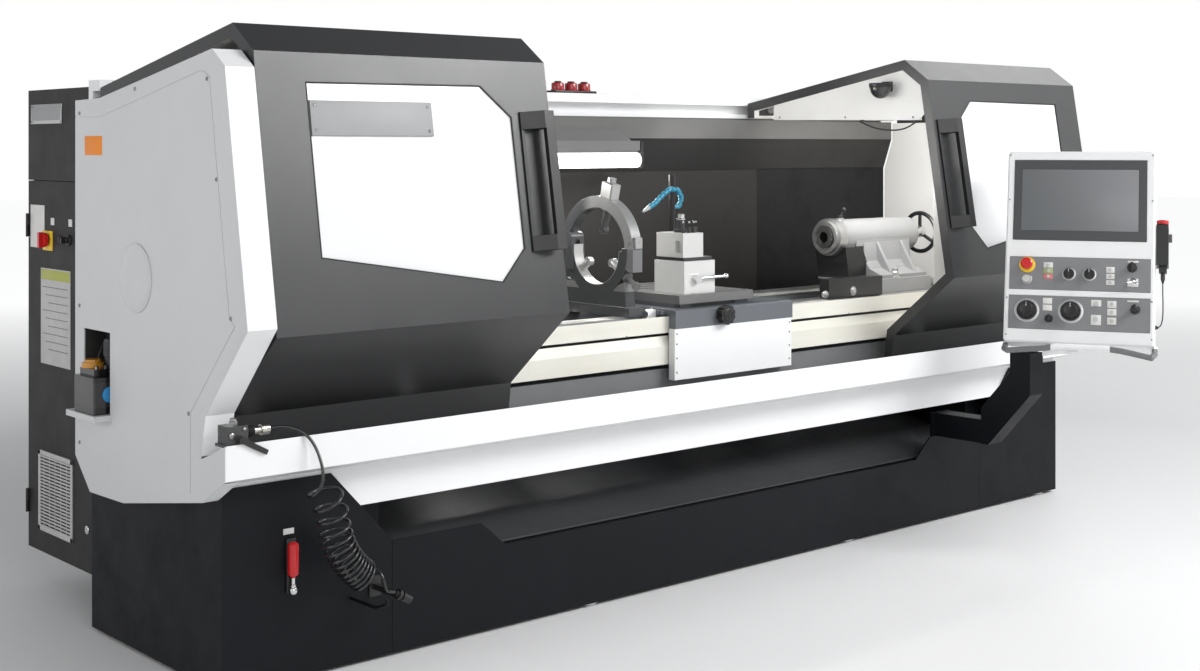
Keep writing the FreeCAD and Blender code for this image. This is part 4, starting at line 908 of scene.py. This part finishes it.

# ------------------------------------------------------------------ rear beam: beacon
b = Build()
b.box(1912, 2126, 884, 950, 1698, 1708, mi=0, bevel=3)
for i, xx in enumerate((1928, 1996, 2064)):
    b.lathe((xx + 22, 917, 1708), "z", [(27, 0), (27, 5), (25, 6), (25, 26), (23, 30), (12, 33), (0.001, 33.5)], n=28, mi=1)
    b.lathe((xx + 22, 917, 1741.5), "z", [(14, -1), (14, 2.5), (11, 4), (0.001, 4)], n=20, mi=0)
b.done("beacon", [m_blackp, m_beacon], "machine")

# ------------------------------------------------------------------ base front: red lever, tag
b = Build()
b.box(188, 222, -2.2, 0.3, 404, 420, bevel=0.5)
b.done("base_tag", m_label, "machine")
b = Build()
b.box(196, 226, -7, 0.5, 240, 392, mi=0, bevel=2)
b.lathe((211, -16, 290), "z", [(7, -6), (8, -2), (14.5, 2), (16, 8), (16, 82), (15, 88), (9, 93), (0.001, 94)], n=28, mi=1)
b.lathe((211, -16, 284), "z", [(6, 0), (6, -18), (8, -20), (8, -26), (5, -28), (0.001, -28)], n=20, mi=2)
b.lathe((211, -16, 248), "z", [(0.001, -13), (7, -11.5), (11.5, -7), (13, 0), (11.5, 7), (7, 11.5), (0.001, 13)], n=24, mi=2, cap=False)
b.done("red_pull", [m_blackp, m_red, m_chrome], "machine")
# bed-cover screws
b = Build()
for xx in (1180, 1640, 2824, 3280, 3740):
    screw(b, (xx, 172, 829), "y", r=4, h=2.2, s=-1)
b.done("cover_strip_screws", m_screw, "machine")

# ------------------------------------------------------------------ apron screws and knob face
b = Build()
for zz in (690, 740, 790, 826):
    screw(b, (1846, 135, zz), "y", r=3.6, h=2.2, s=-1)
    screw(b, (2434, 135, zz), "y", r=3.6, h=2.2, s=-1)
b.done("apron_screws", m_screw, "carriage")
b = Build()
b.lathe((2076, 104.5, 880), "y", [(24, 0.5), (24, -1.5), (20, -3), (18, -1.2), (8, -1.2), (7, -3.2), (0.001, -3.2)], n=40)
for k in range(5):
    a = 2 * math.pi * k / 5
    b.box(2076 + 13 * math.cos(a) - 1.8, 2076 + 13 * math.cos(a) + 1.8, 101.6, 104.4, 880 + 13 * math.sin(a) - 1.8, 880 + 13 * math.sin(a) + 1.8, bevel=0.6)
b.done("knob_face", m_blackp, "carriage_knob")
b = Build()
for xx in (1912, 1990, 2190, 2268):
    for yy in (200, 420, 640):
        b.lathe((xx, yy, 955), "z", [(7.5, 0), (7.5, 1.2), (6.5, 1.8), (4, 1.8), (4, 0.6), (0.001, 0.6)], n=16)
for yy in (470, 540, 610):
    b.box(1930, 2250, yy - 5, yy + 5, 955, 956.2, bevel=0.4, mi=1)
b.done("slide_top_fittings", [m_screw, m_dark], "cross")

# tool block: clamp screws with square heads and centre nut
b = Build()
for xx, yy in ((1965, 226), (1991, 222), (2014, 222), (2034, 232)):
    b.lathe((xx, yy, 1210), "z", [(4.6, 0), (4.6, 6), (3.6, 7.5), (0.001, 7.5)], n=6)
b.lathe((2000, 275, 1220), "z", [(17, 0), (17, 4), (14, 6), (14, 20), (11, 23), (0.001, 23)], n=6)
b.done("tool_block_screws", m_chrome, "cross")

# ------------------------------------------------------------------ chuck bolts and headstock fittings
b = Build()
for k in range(3):
    a = math.radians(90 + 60 + 120 * k)
    for rr in (95, 165):
        b.lathe((994, 400 + rr * math.cos(a), 1115 + rr * math.sin(a)), "x", [(11, -1), (11, 3.5), (9.5, 5), (6, 5), (6, 1), (0.001, 1)], n=20)
for k in range(3):
    a = math.radians(180 + 120 * k)
    cy_, cz_ = 400 + 100 * math.cos(a), 1115 + 100 * math.sin(a)
    b.lathe((1066, cy_, cz_), "x", [(9, -1), (9, 2), (7, 3), (4.5, 3), (4.5, 0.5), (0.001, 0.5)], n=18)
b.done("chuck_bolts", m_screw, "spindle_set")

# ------------------------------------------------------------------ tailstock fittings
b = Build()
b.lathe((2888, 205, 912), "y", [(13, 1), (13, -8), (10, -10), (0.001, -10)], n=6)
b.lathe((2888, 205, 912), "y", [(18, 0.5), (18, -2.5), (0.001, -2.5)], n=28)
b.lathe((2745, 222, 905), "x", [(15, 1), (15, -6), (11, -8), (11, -17), (8, -19), (0.001, -19)], n=24)
b.lathe((3200, 240, 946), "z", [(22, -1), (22, 4), (15, 5), (15, 24), (12, 27), (12, 38), (9, 40), (0.001, 40)], n=6)
for k in range(4):
    a = math.radians(45 + 90 * k)
    b.lathe((2942, 400 + 58 * math.cos(a), 1115 + 58 * math.sin(a)), "x", [(4.5, 1), (4.5, -2.4), (3.5, -3), (0.001, -3)], n=14)
b.done("tailstock_fittings", m_alu, "tail")
b = Build()
b.prism([(1722, 176, 868), (1785, 176, 868), (1785, 176, 914), (1766, 176, 914), (1730, 176, 880)], (0, 36, 0), bevel=1.5)
b.lathe((1775, 194, 914), "z", [(7, -1), (7, 5), (5, 7), (0.001, 7)], n=6)
b.done("bed_stop", m_alu, "machine")
b = Build()
b.lathe((3572 + 22, 400, 1115 + 0), "x", [(14, -12), (14, 1), (10, 4), (0.001, 4)], n=24)
a0 = math.radians(40)
hy, hz = 400 + 83 * math.cos(a0), 1115 + 83 * math.sin(a0)
b.lathe((3560, hy, hz), "x", [(5, 4), (5, -12), (9, -16), (11, -30), (10, -48), (5, -54), (0.001, -54)], n=24)
b.done("handwheel_grip", m_blackp, "wheel")

# ------------------------------------------------------------------ cabinet
FX = 60.0
b = Build()
y0, y1, z0, z1 = 1110, 1386, 196, 466
for q in ((y0, y1, z0, z0 + 16), (y0, y1, z1 - 16, z1), (y0, y0 + 16, z0, z1), (y1 - 16, y1, z0, z1)):
    b.box(FX - 4.5, FX + 0.2, *q, bevel=1.0)
n = 22
for i in range(n):
    zz = z0 + 18 + i * (z1 - z0 - 38) / (n - 1)
    b.prism([(FX - 3.6, y0 + 12, zz - 3.4), (FX - 1.2, y0 + 12, zz - 4.6), (FX - 0.6, y0 + 12, zz + 1.8), (FX - 3.0, y0 + 12, zz + 2.6)], (0, y1 - y0 - 24, 0), bevel=0.3, segs=1)
for k in range(5):
    yy = y0 + 46 * (k + 1)
    b.box(FX - 4.0, FX - 2.8, yy - 1.5, yy + 1.5, z0 + 14, z1 - 14, bevel=0.3)
b.done("vent_grille", m_label, "cabinet_leaf")
b = Build()
b.box(FX - 2.4, FX + 0.2, 1200, 1454, 1564, 1630, bevel=1.0, mi=0)
b.box(FX - 3.0, FX - 2.2, 1212, 1442, 1576, 1618, bevel=0.6, mi=1)
for yy in (1207, 1447):
    for zz in (1571, 1623):
        screw(b, (FX - 2.4, yy, zz), "x", r=3, h=1.6, s=-1, mi=2)
b.done("cabinet_plate", [m_alu, m_plate, m_screw], "machine")
b = Build()
b.box(FX - 1.2, FX + 0.2, 1342, 1459, 1146, 1290, bevel=0.4)
b.done("tall_label", m_labelw, "cabinet_leaf")
b = Build()
b.box(FX - 0.9, FX + 0.2, 1132, 1372, 759, 1080, bevel=0.4, mi=0)
b.box(FX - 1.3, FX - 0.6, 1136, 1368, 1042, 1076, bevel=0.3, mi=1)
for k in range(9):
    b.box(FX - 1.15, FX - 0.7, 1150, 1354 - 22 * (k % 3), 1016 - 26 * k, 1019 - 26 * k, bevel=0, mi=2)
b.done("data_sheet", [m_label, m_limeband, m_greyp], "cabinet_leaf")
b = Build()
b.box(FX - 2.0, FX + 0.2, 1274, 1354, 1140, 1206, bevel=0.8, mi=0)
b.done("switch_plate", m_yellow, "cabinet_leaf")
b = Build()
b.lathe((FX, 1141, 1182), "x", [(18, 0.5), (18, -4), (16, -7), (11, -7.5), (11, -14), (9, -16), (0.001, -16)], n=32, mi=0)
b.box(FX - 30, FX - 14, 1136, 1146, 1172, 1192, bevel=1.5, mi=0)
b.lathe((FX, 1209, 1182), "x", [(12, 0.5), (12, -3), (10, -5), (8, -5), (8, -8), (0.001, -8.5)], n=28, mi=0)
b.box(FX - 1.4, FX + 0.2, 1261, 1289, 1226, 1250, bevel=0.4, mi=1)
b.box(FX - 1.4, FX + 0.2, 1118, 1146, 1226, 1250, bevel=0.4, mi=1)
b.done("key_switch", [m_blackp, m_labelw], "cabinet_leaf")
b = Build()
for zz in (260, 700, 1240):
    b.lathe((FX, 1000, zz), "x", [(14, 0.5), (14, -3.0), (12, -4.5), (5, -4.5), (5, -2), (0.001, -2)], n=28)
b.done("cabinet_locks", m_chrome, "cabinet_leaf")
b = Build()
for xx in (136, 360, 664, 889):
    for zz in (216, 560, 910, 1260, 1604):
        if xx in (136, 889) or zz in (216, 1604):
            screw(b, (xx, 1489.9, zz), "y", r=6, h=3, s=1)
b.done("cabinet_back_screws", m_screw, "machine")
b = Build()
for k in range(5):
    xx = 190 + 130 * k
    b.lathe((xx, 1200, 1679), "z", [(16, -1), (16, 3), (24, 4), (24, 9), (10, 12), (0.001, 12)], n=20)
b.done("cabinet_lifting_eyes", m_dark, "machine")

# rear of the machine: wall stiffeners and a cross rail
b = Build()
for xx in (700, 1400, 2100, 2800, 3500):
    b.prism([(xx, 868, 600), (xx, 884, 600), (xx, 884, 1370), (xx, 868, 1370)], (40, 0, 0), bevel=2)
b.box(1100, 3700, 868, 880, 940, 990, bevel=2)
b.done("wall_stiffeners", m_char, "machine")

# ------------------------------------------------------------------ pendant details
b = Build(PN)
b.box(-212.5, 212.5, 0.9, 2.0, -119, 119, bevel=0.4)
M = Mat("display_glass")
u, py, pw = M.local()
# painted reflection: the display glass is lighter towards its upper right along a diagonal ramp
painted_reflection_ramp = M.rng(M.math("ADD", u, M.math("MULTIPLY", pw, 0.7)), -0.26, 0.26, 0.0, 1.0)
dc = M.mix(painted_reflection_ramp, (0.135, 0.145, 0.15), (0.215, 0.215, 0.225))
m_disp = finish_surface(M, dc, rough=0.32, rvar=0.008, var=0.008, vscale=4, grain=700, gstr=0.02, edge=0, spec=0.3, coat=0.1, coatr=0.15)
b.done("display_glass", m_disp, "pendant")

b = Build(PN)
# yellow collar of the stop button and the reset's clear ring
b.lathe((-186, 1.5, -253), "y", [(30, 0.3), (30, -1.2), (29, -1.8), (11.0, -1.8), (11.0, 0.3)], n=48, mi=0, cap=False)
b.lathe((-186, 1.5, -308), "y", [(19, 0.3), (19, -1.8), (17.5, -2.6), (14.6, -2.6), (14.6, 0.3)], n=40, mi=1, cap=False)
for uu in (-34, 40):
    b.lathe((uu, 1.5, -284), "y", [(25, 0.2), (25, -0.9), (24, -1.2), (19.6, -1.2), (19.6, 0.2)], n=48, mi=1, cap=False)
for uu, ww in ((-184, -426), (-25, -425)):
    b.lathe((uu, 1.5, ww), "y", [(46, 0.2), (46, -0.3), (45.5, -0.5), (37, -0.5), (37, 0.2)], n=64, mi=1, cap=False)
b.done("control_rings", [m_yellow, m_alu], "pendant")

# dial scales
b = Build(PN)
for uu, ww in ((-184, -426), (-25, -425)):
    for k in range(21):
        a = math.radians(-60 + 15 * k)
        ca, sa = math.cos(a), math.sin(a)
        r0, r1 = 39.0, 44.0 if k % 5 else 45.0
        hw = 0.55 if k % 5 else 0.9
        p = []
        for rr, t in ((r0, -hw), (r1, -hw), (r1, hw), (r0, hw)):
            p.append((uu + rr * ca - t * sa, 1.0, ww + rr * sa + t * ca))
        b.prism(p, (0, -0.3, 0), bevel=0)
b.done("dial_scales", m_labelw, "pendant")

# legend labels (plain), push buttons and small levers
b = Build(PN)
for u0, u1, w0, w1, mi in ((100, 130, -276, -254, 0), (100, 130, -300, -280, 0), (100, 130, -322, -304, 0),
                           (106, 138, -408, -382, 0), (106, 138, -436, -412, 0), (106, 138, -470, -444, 0),
                           (-126, -92, -262, -242, 0), (-126, -92, -284, -264, 1), (-126, -92, -306, -286, 2),
                           (-126, -92, -400, -378, 0), (-126, -92, -426, -404, 0), (48, 84, -404, -380, 0), (48, 84, -474, -436, 0),
                           (176, 214, -236, -229, 0), (176, 214, -326, -296, 0), (176, 216, -384, -378, 0)):
    b.box(u0, u1, 0.7, 1.6, w0, w1, mi=mi, bevel=0.3)
m_green = simple("label_green", (0.36, 0.44, 0.20), rough=0.5, var=0.04, grain=260, gstr=0.05, edge=0)
m_pink = simple("label_red", (0.60, 0.18, 0.17), rough=0.5, var=0.04, grain=260, gstr=0.05, edge=0)
b.done("legend_labels", [m_labelw, m_green, m_pink], "pendant")
b = Build(PN)
for uu, ww, rr in ((-109, -252, 6), (-109, -274, 6), (-109, -296, 6), (66, -395, 9), (66, -452, 9), (122, -394, 7), (122, -424, 7), (122, -457, 7),
                   (115, -265, 6), (115, -290, 6), (115, -313, 6)):
    b.lathe((uu, 0.8, ww), "y", [(rr, 0.5), (rr, -2.2), (rr - 1.0, -3.4), (0.001, -3.8)], n=24, mi=0)
b.lathe((-103, 1.5, -456), "y", [(15, 0.3), (15, -2), (12, -3), (12, -13), (10, -16), (0.001, -16)], n=28, mi=1)
b.box(-106, -100, -21, -12, -470, -442, bevel=1.2, mi=1)
b.lathe((192, 1.5, -255), "y", [(18, 0.3), (18, -2.5), (15, -4), (12, -4), (12, -15), (0.001, -16)], n=32, mi=1)
b.box(187, 197, -27, -13, -272, -238, bevel=2, mi=1)
b.lathe((196, 1.5, -308), "y", [(14, 0.3), (14, -2.5), (11, -4), (6, -5), (6, -16), (0.001, -16.5)], n=28, mi=2)
b.tube([(196, -8, -308), (188, -22, -314), (176, -30, -318)], 3.2, mi=2)
b.tube([(196, -8, -308), (206, -20, -316), (214, -26, -320)], 3.2, mi=2)
b.done("pendant_buttons", [m_label, m_blackp, m_chrome], "pendant")

# selector pointers, dial markers: ride on their own knobs
for nm, body, uu, ww in (("selector_a_mark", "mode_a", -34, -284), ("selector_b_mark", "mode_b", 40, -284)):
    b = Build(PN)
    b.box(uu - 0.9, uu + 0.9, -24.3, -23.6, ww + 4, ww + 17, bevel=0.2)
    b.done(nm, m_labelw, body)
for nm, body, uu, ww in (("feed_mark", "feed_knob", -184, -426), ("speed_mark", "speed_knob", -25, -425)):
    b = Build(PN)
    b.lathe((uu, -26.1, ww), "y", [(24, 0.2), (24, -0.6), (22, -1.6), (19, -0.8), (0.001, -0.6)], n=48, mi=0)
    b.box(uu - 1.0, uu + 1.0, -27.4, -26.4, ww + 12, ww + 26, mi=1, bevel=0.2)
    b.done(nm, [m_blackp, m_labelw], body)
b = Build(PN)
b.lathe((204, 3.0, -412), "y", [(10.8, -3.4), (13.2, -6.2), (11.4, -7.6), (13.6, -9.4), (11.0, -11.4), (12.0, -13), (9.6, -16), (9.0, -18), (7.2, -19)], n=32, cap=False)
b.done("joystick_bellows", m_rubber, "jog_stick")
b = Build(PN)
b.lathe((204, 3.0, -412), "y", [(17.4, 0.6), (17.4, -2.0), (16.6, -2.8), (15.2, -2.8), (14.6, -2.0), (14.6, 0.6)], n=40, cap=False)
b.done("joystick_collar", m_rubber, "pendant")

# bar handle mounts, case screws, rear plate of the pendant
b = Build(PN)
for uu in (-258, 262):
    for ww in (-520, -380, 0, 176):
        screw(b, (uu if abs(uu) < 260 else uu, 3.0, ww), "y", r=3.2, h=1.6, s=-1)
b.done("case_screws", m_screw, "pendant")
b = Build(PN)
b.box(-236, 240, 119.8, 123, -516, 160, bevel=2, mi=0)
for i in range(14):
    ww = -420 + 17 * i
    b.prism([(-150, 123, ww), (-150, 127, ww - 4), (-150, 126, ww - 6), (-150, 123, ww - 4)], (300, 0, 0), bevel=0.4, segs=1, mi=0)
for uu in (-224, 228):
    for ww in (-504, -180, 148):
        screw(b, (uu, 123, ww), "y", r=4.5, h=2.2, s=1, mi=1)
b.done("pendant_rear_plate", [m_white, m_screw], "pendant")

# cable of the hand unit: out of its gland, down the flank and into the housing
b = Build(PN)
b.lathe((298, 57, -286), "z", [(7.0, 1), (6.4, -2), (5.0, -9), (2.9, -16), (2.2, -16)], n=24, cap=False)
b.lathe((272, 86, -462), "x", [(8, -0.5), (8, 3), (6.4, 4), (4.8, 9), (2.3, 12)], n=24, cap=False)
b.done("hand_unit_glands", m_rubber, "pendant")
HAND_RUN = [(298, 57, -287), (298, 57, -306), (298, 60, -336), (299, 66, -372), (299, 74, -408), (297, 81, -436), (291, 85, -455), (282, 86, -462), (273, 86, -462.5)]
hc = nurbs("hand_unit_cable", [PN(*q) for q in HAND_RUN], bevel=0.0022)
hc.data.materials.append(m_rubber)
c2 = bpy.data.objects.new("cl", hc.data.copy())
c2.data.bevel_depth = 0.0
SC.collection.objects.link(c2)
pp = polyline(c2)
bpy.data.objects.remove(c2)
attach(hc, "pendant")

# ------------------------------------------------------------------ floor, light, world
fl = bpy.data.meshes.new("floor")
fl.from_pydata([(-40, -40, 0), (40, -40, 0), (40, 40, 0), (-40, 40, 0)], [], [(0, 1, 2, 3)])
floor = bpy.data.objects.new("floor", fl)
SC.collection.objects.link(floor)
M = Mat("studio_floor")
finish_surface(M, (0.86, 0.86, 0.865), rough=0.55, var=0.01, vscale=0.4, grain=30, gstr=0.02, edge=0)
x, y, z = M.xyz()
far = M.math("SQRT", M.math("ADD", M.math("MULTIPLY", x, x), M.math("MULTIPLY", y, y)))
M.b.inputs["Emission Color"].default_value = (1, 1, 1, 1)
M.link(M.rng(far, 4.0, 11.0, 0.0, 0.66), M.b.inputs["Emission Strength"])
fl.materials.append(M.m)

w = bpy.data.worlds.new("studio")
SC.world = w
w.use_nodes = True
nt = w.node_tree
nt.nodes.clear()
wo = nt.nodes.new("ShaderNodeOutputWorld")
# pale studio: plain white behind the machine, a softer level of light on it
bg = nt.nodes.new("ShaderNodeBackground")
bg.inputs[0].default_value = (0.97, 0.985, 1.0, 1)
tc = nt.nodes.new("ShaderNodeTexCoord")
sp = nt.nodes.new("ShaderNodeSeparateXYZ")
nt.links.new(tc.outputs["Generated"], sp.inputs[0])
el = nt.nodes.new("ShaderNodeMapRange")
nt.links.new(sp.outputs["Z"], el.inputs[0])
for i, v in enumerate((0.45, 0.78, 0.52, 0.20)):
    el.inputs[i + 1].default_value = v
nt.links.new(el.outputs[0], bg.inputs[1])
bgc = nt.nodes.new("ShaderNodeBackground")
bgc.inputs[0].default_value = (1.0, 1.0, 1.0, 1)
bgc.inputs[1].default_value = 1.0
lp = nt.nodes.new("ShaderNodeLightPath")
mx = nt.nodes.new("ShaderNodeMixShader")
nt.links.new(lp.outputs["Is Camera Ray"], mx.inputs[0])
nt.links.new(bg.outputs[0], mx.inputs[1])
nt.links.new(bgc.outputs[0], mx.inputs[2])
nt.links.new(mx.outputs[0], wo.inputs[0])


def area(name, loc, aim, sx, sy, power, col=(1, 1, 1)):
    d = bpy.data.lights.new(name, "AREA")
    d.shape = "RECTANGLE"
    d.size, d.size_y = sx, sy
    d.energy = power
    d.color = col
    o = bpy.data.objects.new(name, d)
    o.location = W(*loc)
    v = W(*aim) - W(*loc)
    o.rotation_mode = "QUATERNION"
    o.rotation_quaternion = v.to_track_quat("-Z", "Y")
    SC.collection.objects.link(o)
    return o


area("softbox", (4900, -4900, 4650), (1200, -150, 1600), 3.8, 2.2, 390)
area("front", (-1200, -5600, 3600), (1500, 200, 900), 4.0, 3.0, 95)
area("front_right", (8300, -3450, 3000), (3500, -150, 1500), 2.6, 2.2, 26)
area("right", (7600, 1100, 4500), (3500, 0, 1700), 2.6, 2.2, 40)
area("side", (-5200, 900, 2200), (0, 500, 1000), 3.0, 2.5, 62)
area("lamp_glow", (1680, 690, 1398), (1700, 330, 900), 1.0, 0.06, 8, (1, 0.98, 0.95))
for nm, at, to, sz, pw in (("tail_light", (3070, 90, 1560), (3850, 430, 1080), 0.4, 9.5), ("bed_light", (2350, 420, 1585), (3300, 380, 1000), 0.5, 2.5)):
    o = area(nm, at, to, sz, sz, pw, (1, 0.99, 0.97))
    o.visible_camera = False

SC.view_settings.view_transform = "Standard"
SC.view_settings.look = "None"
SC.view_settings.exposure = 0.0
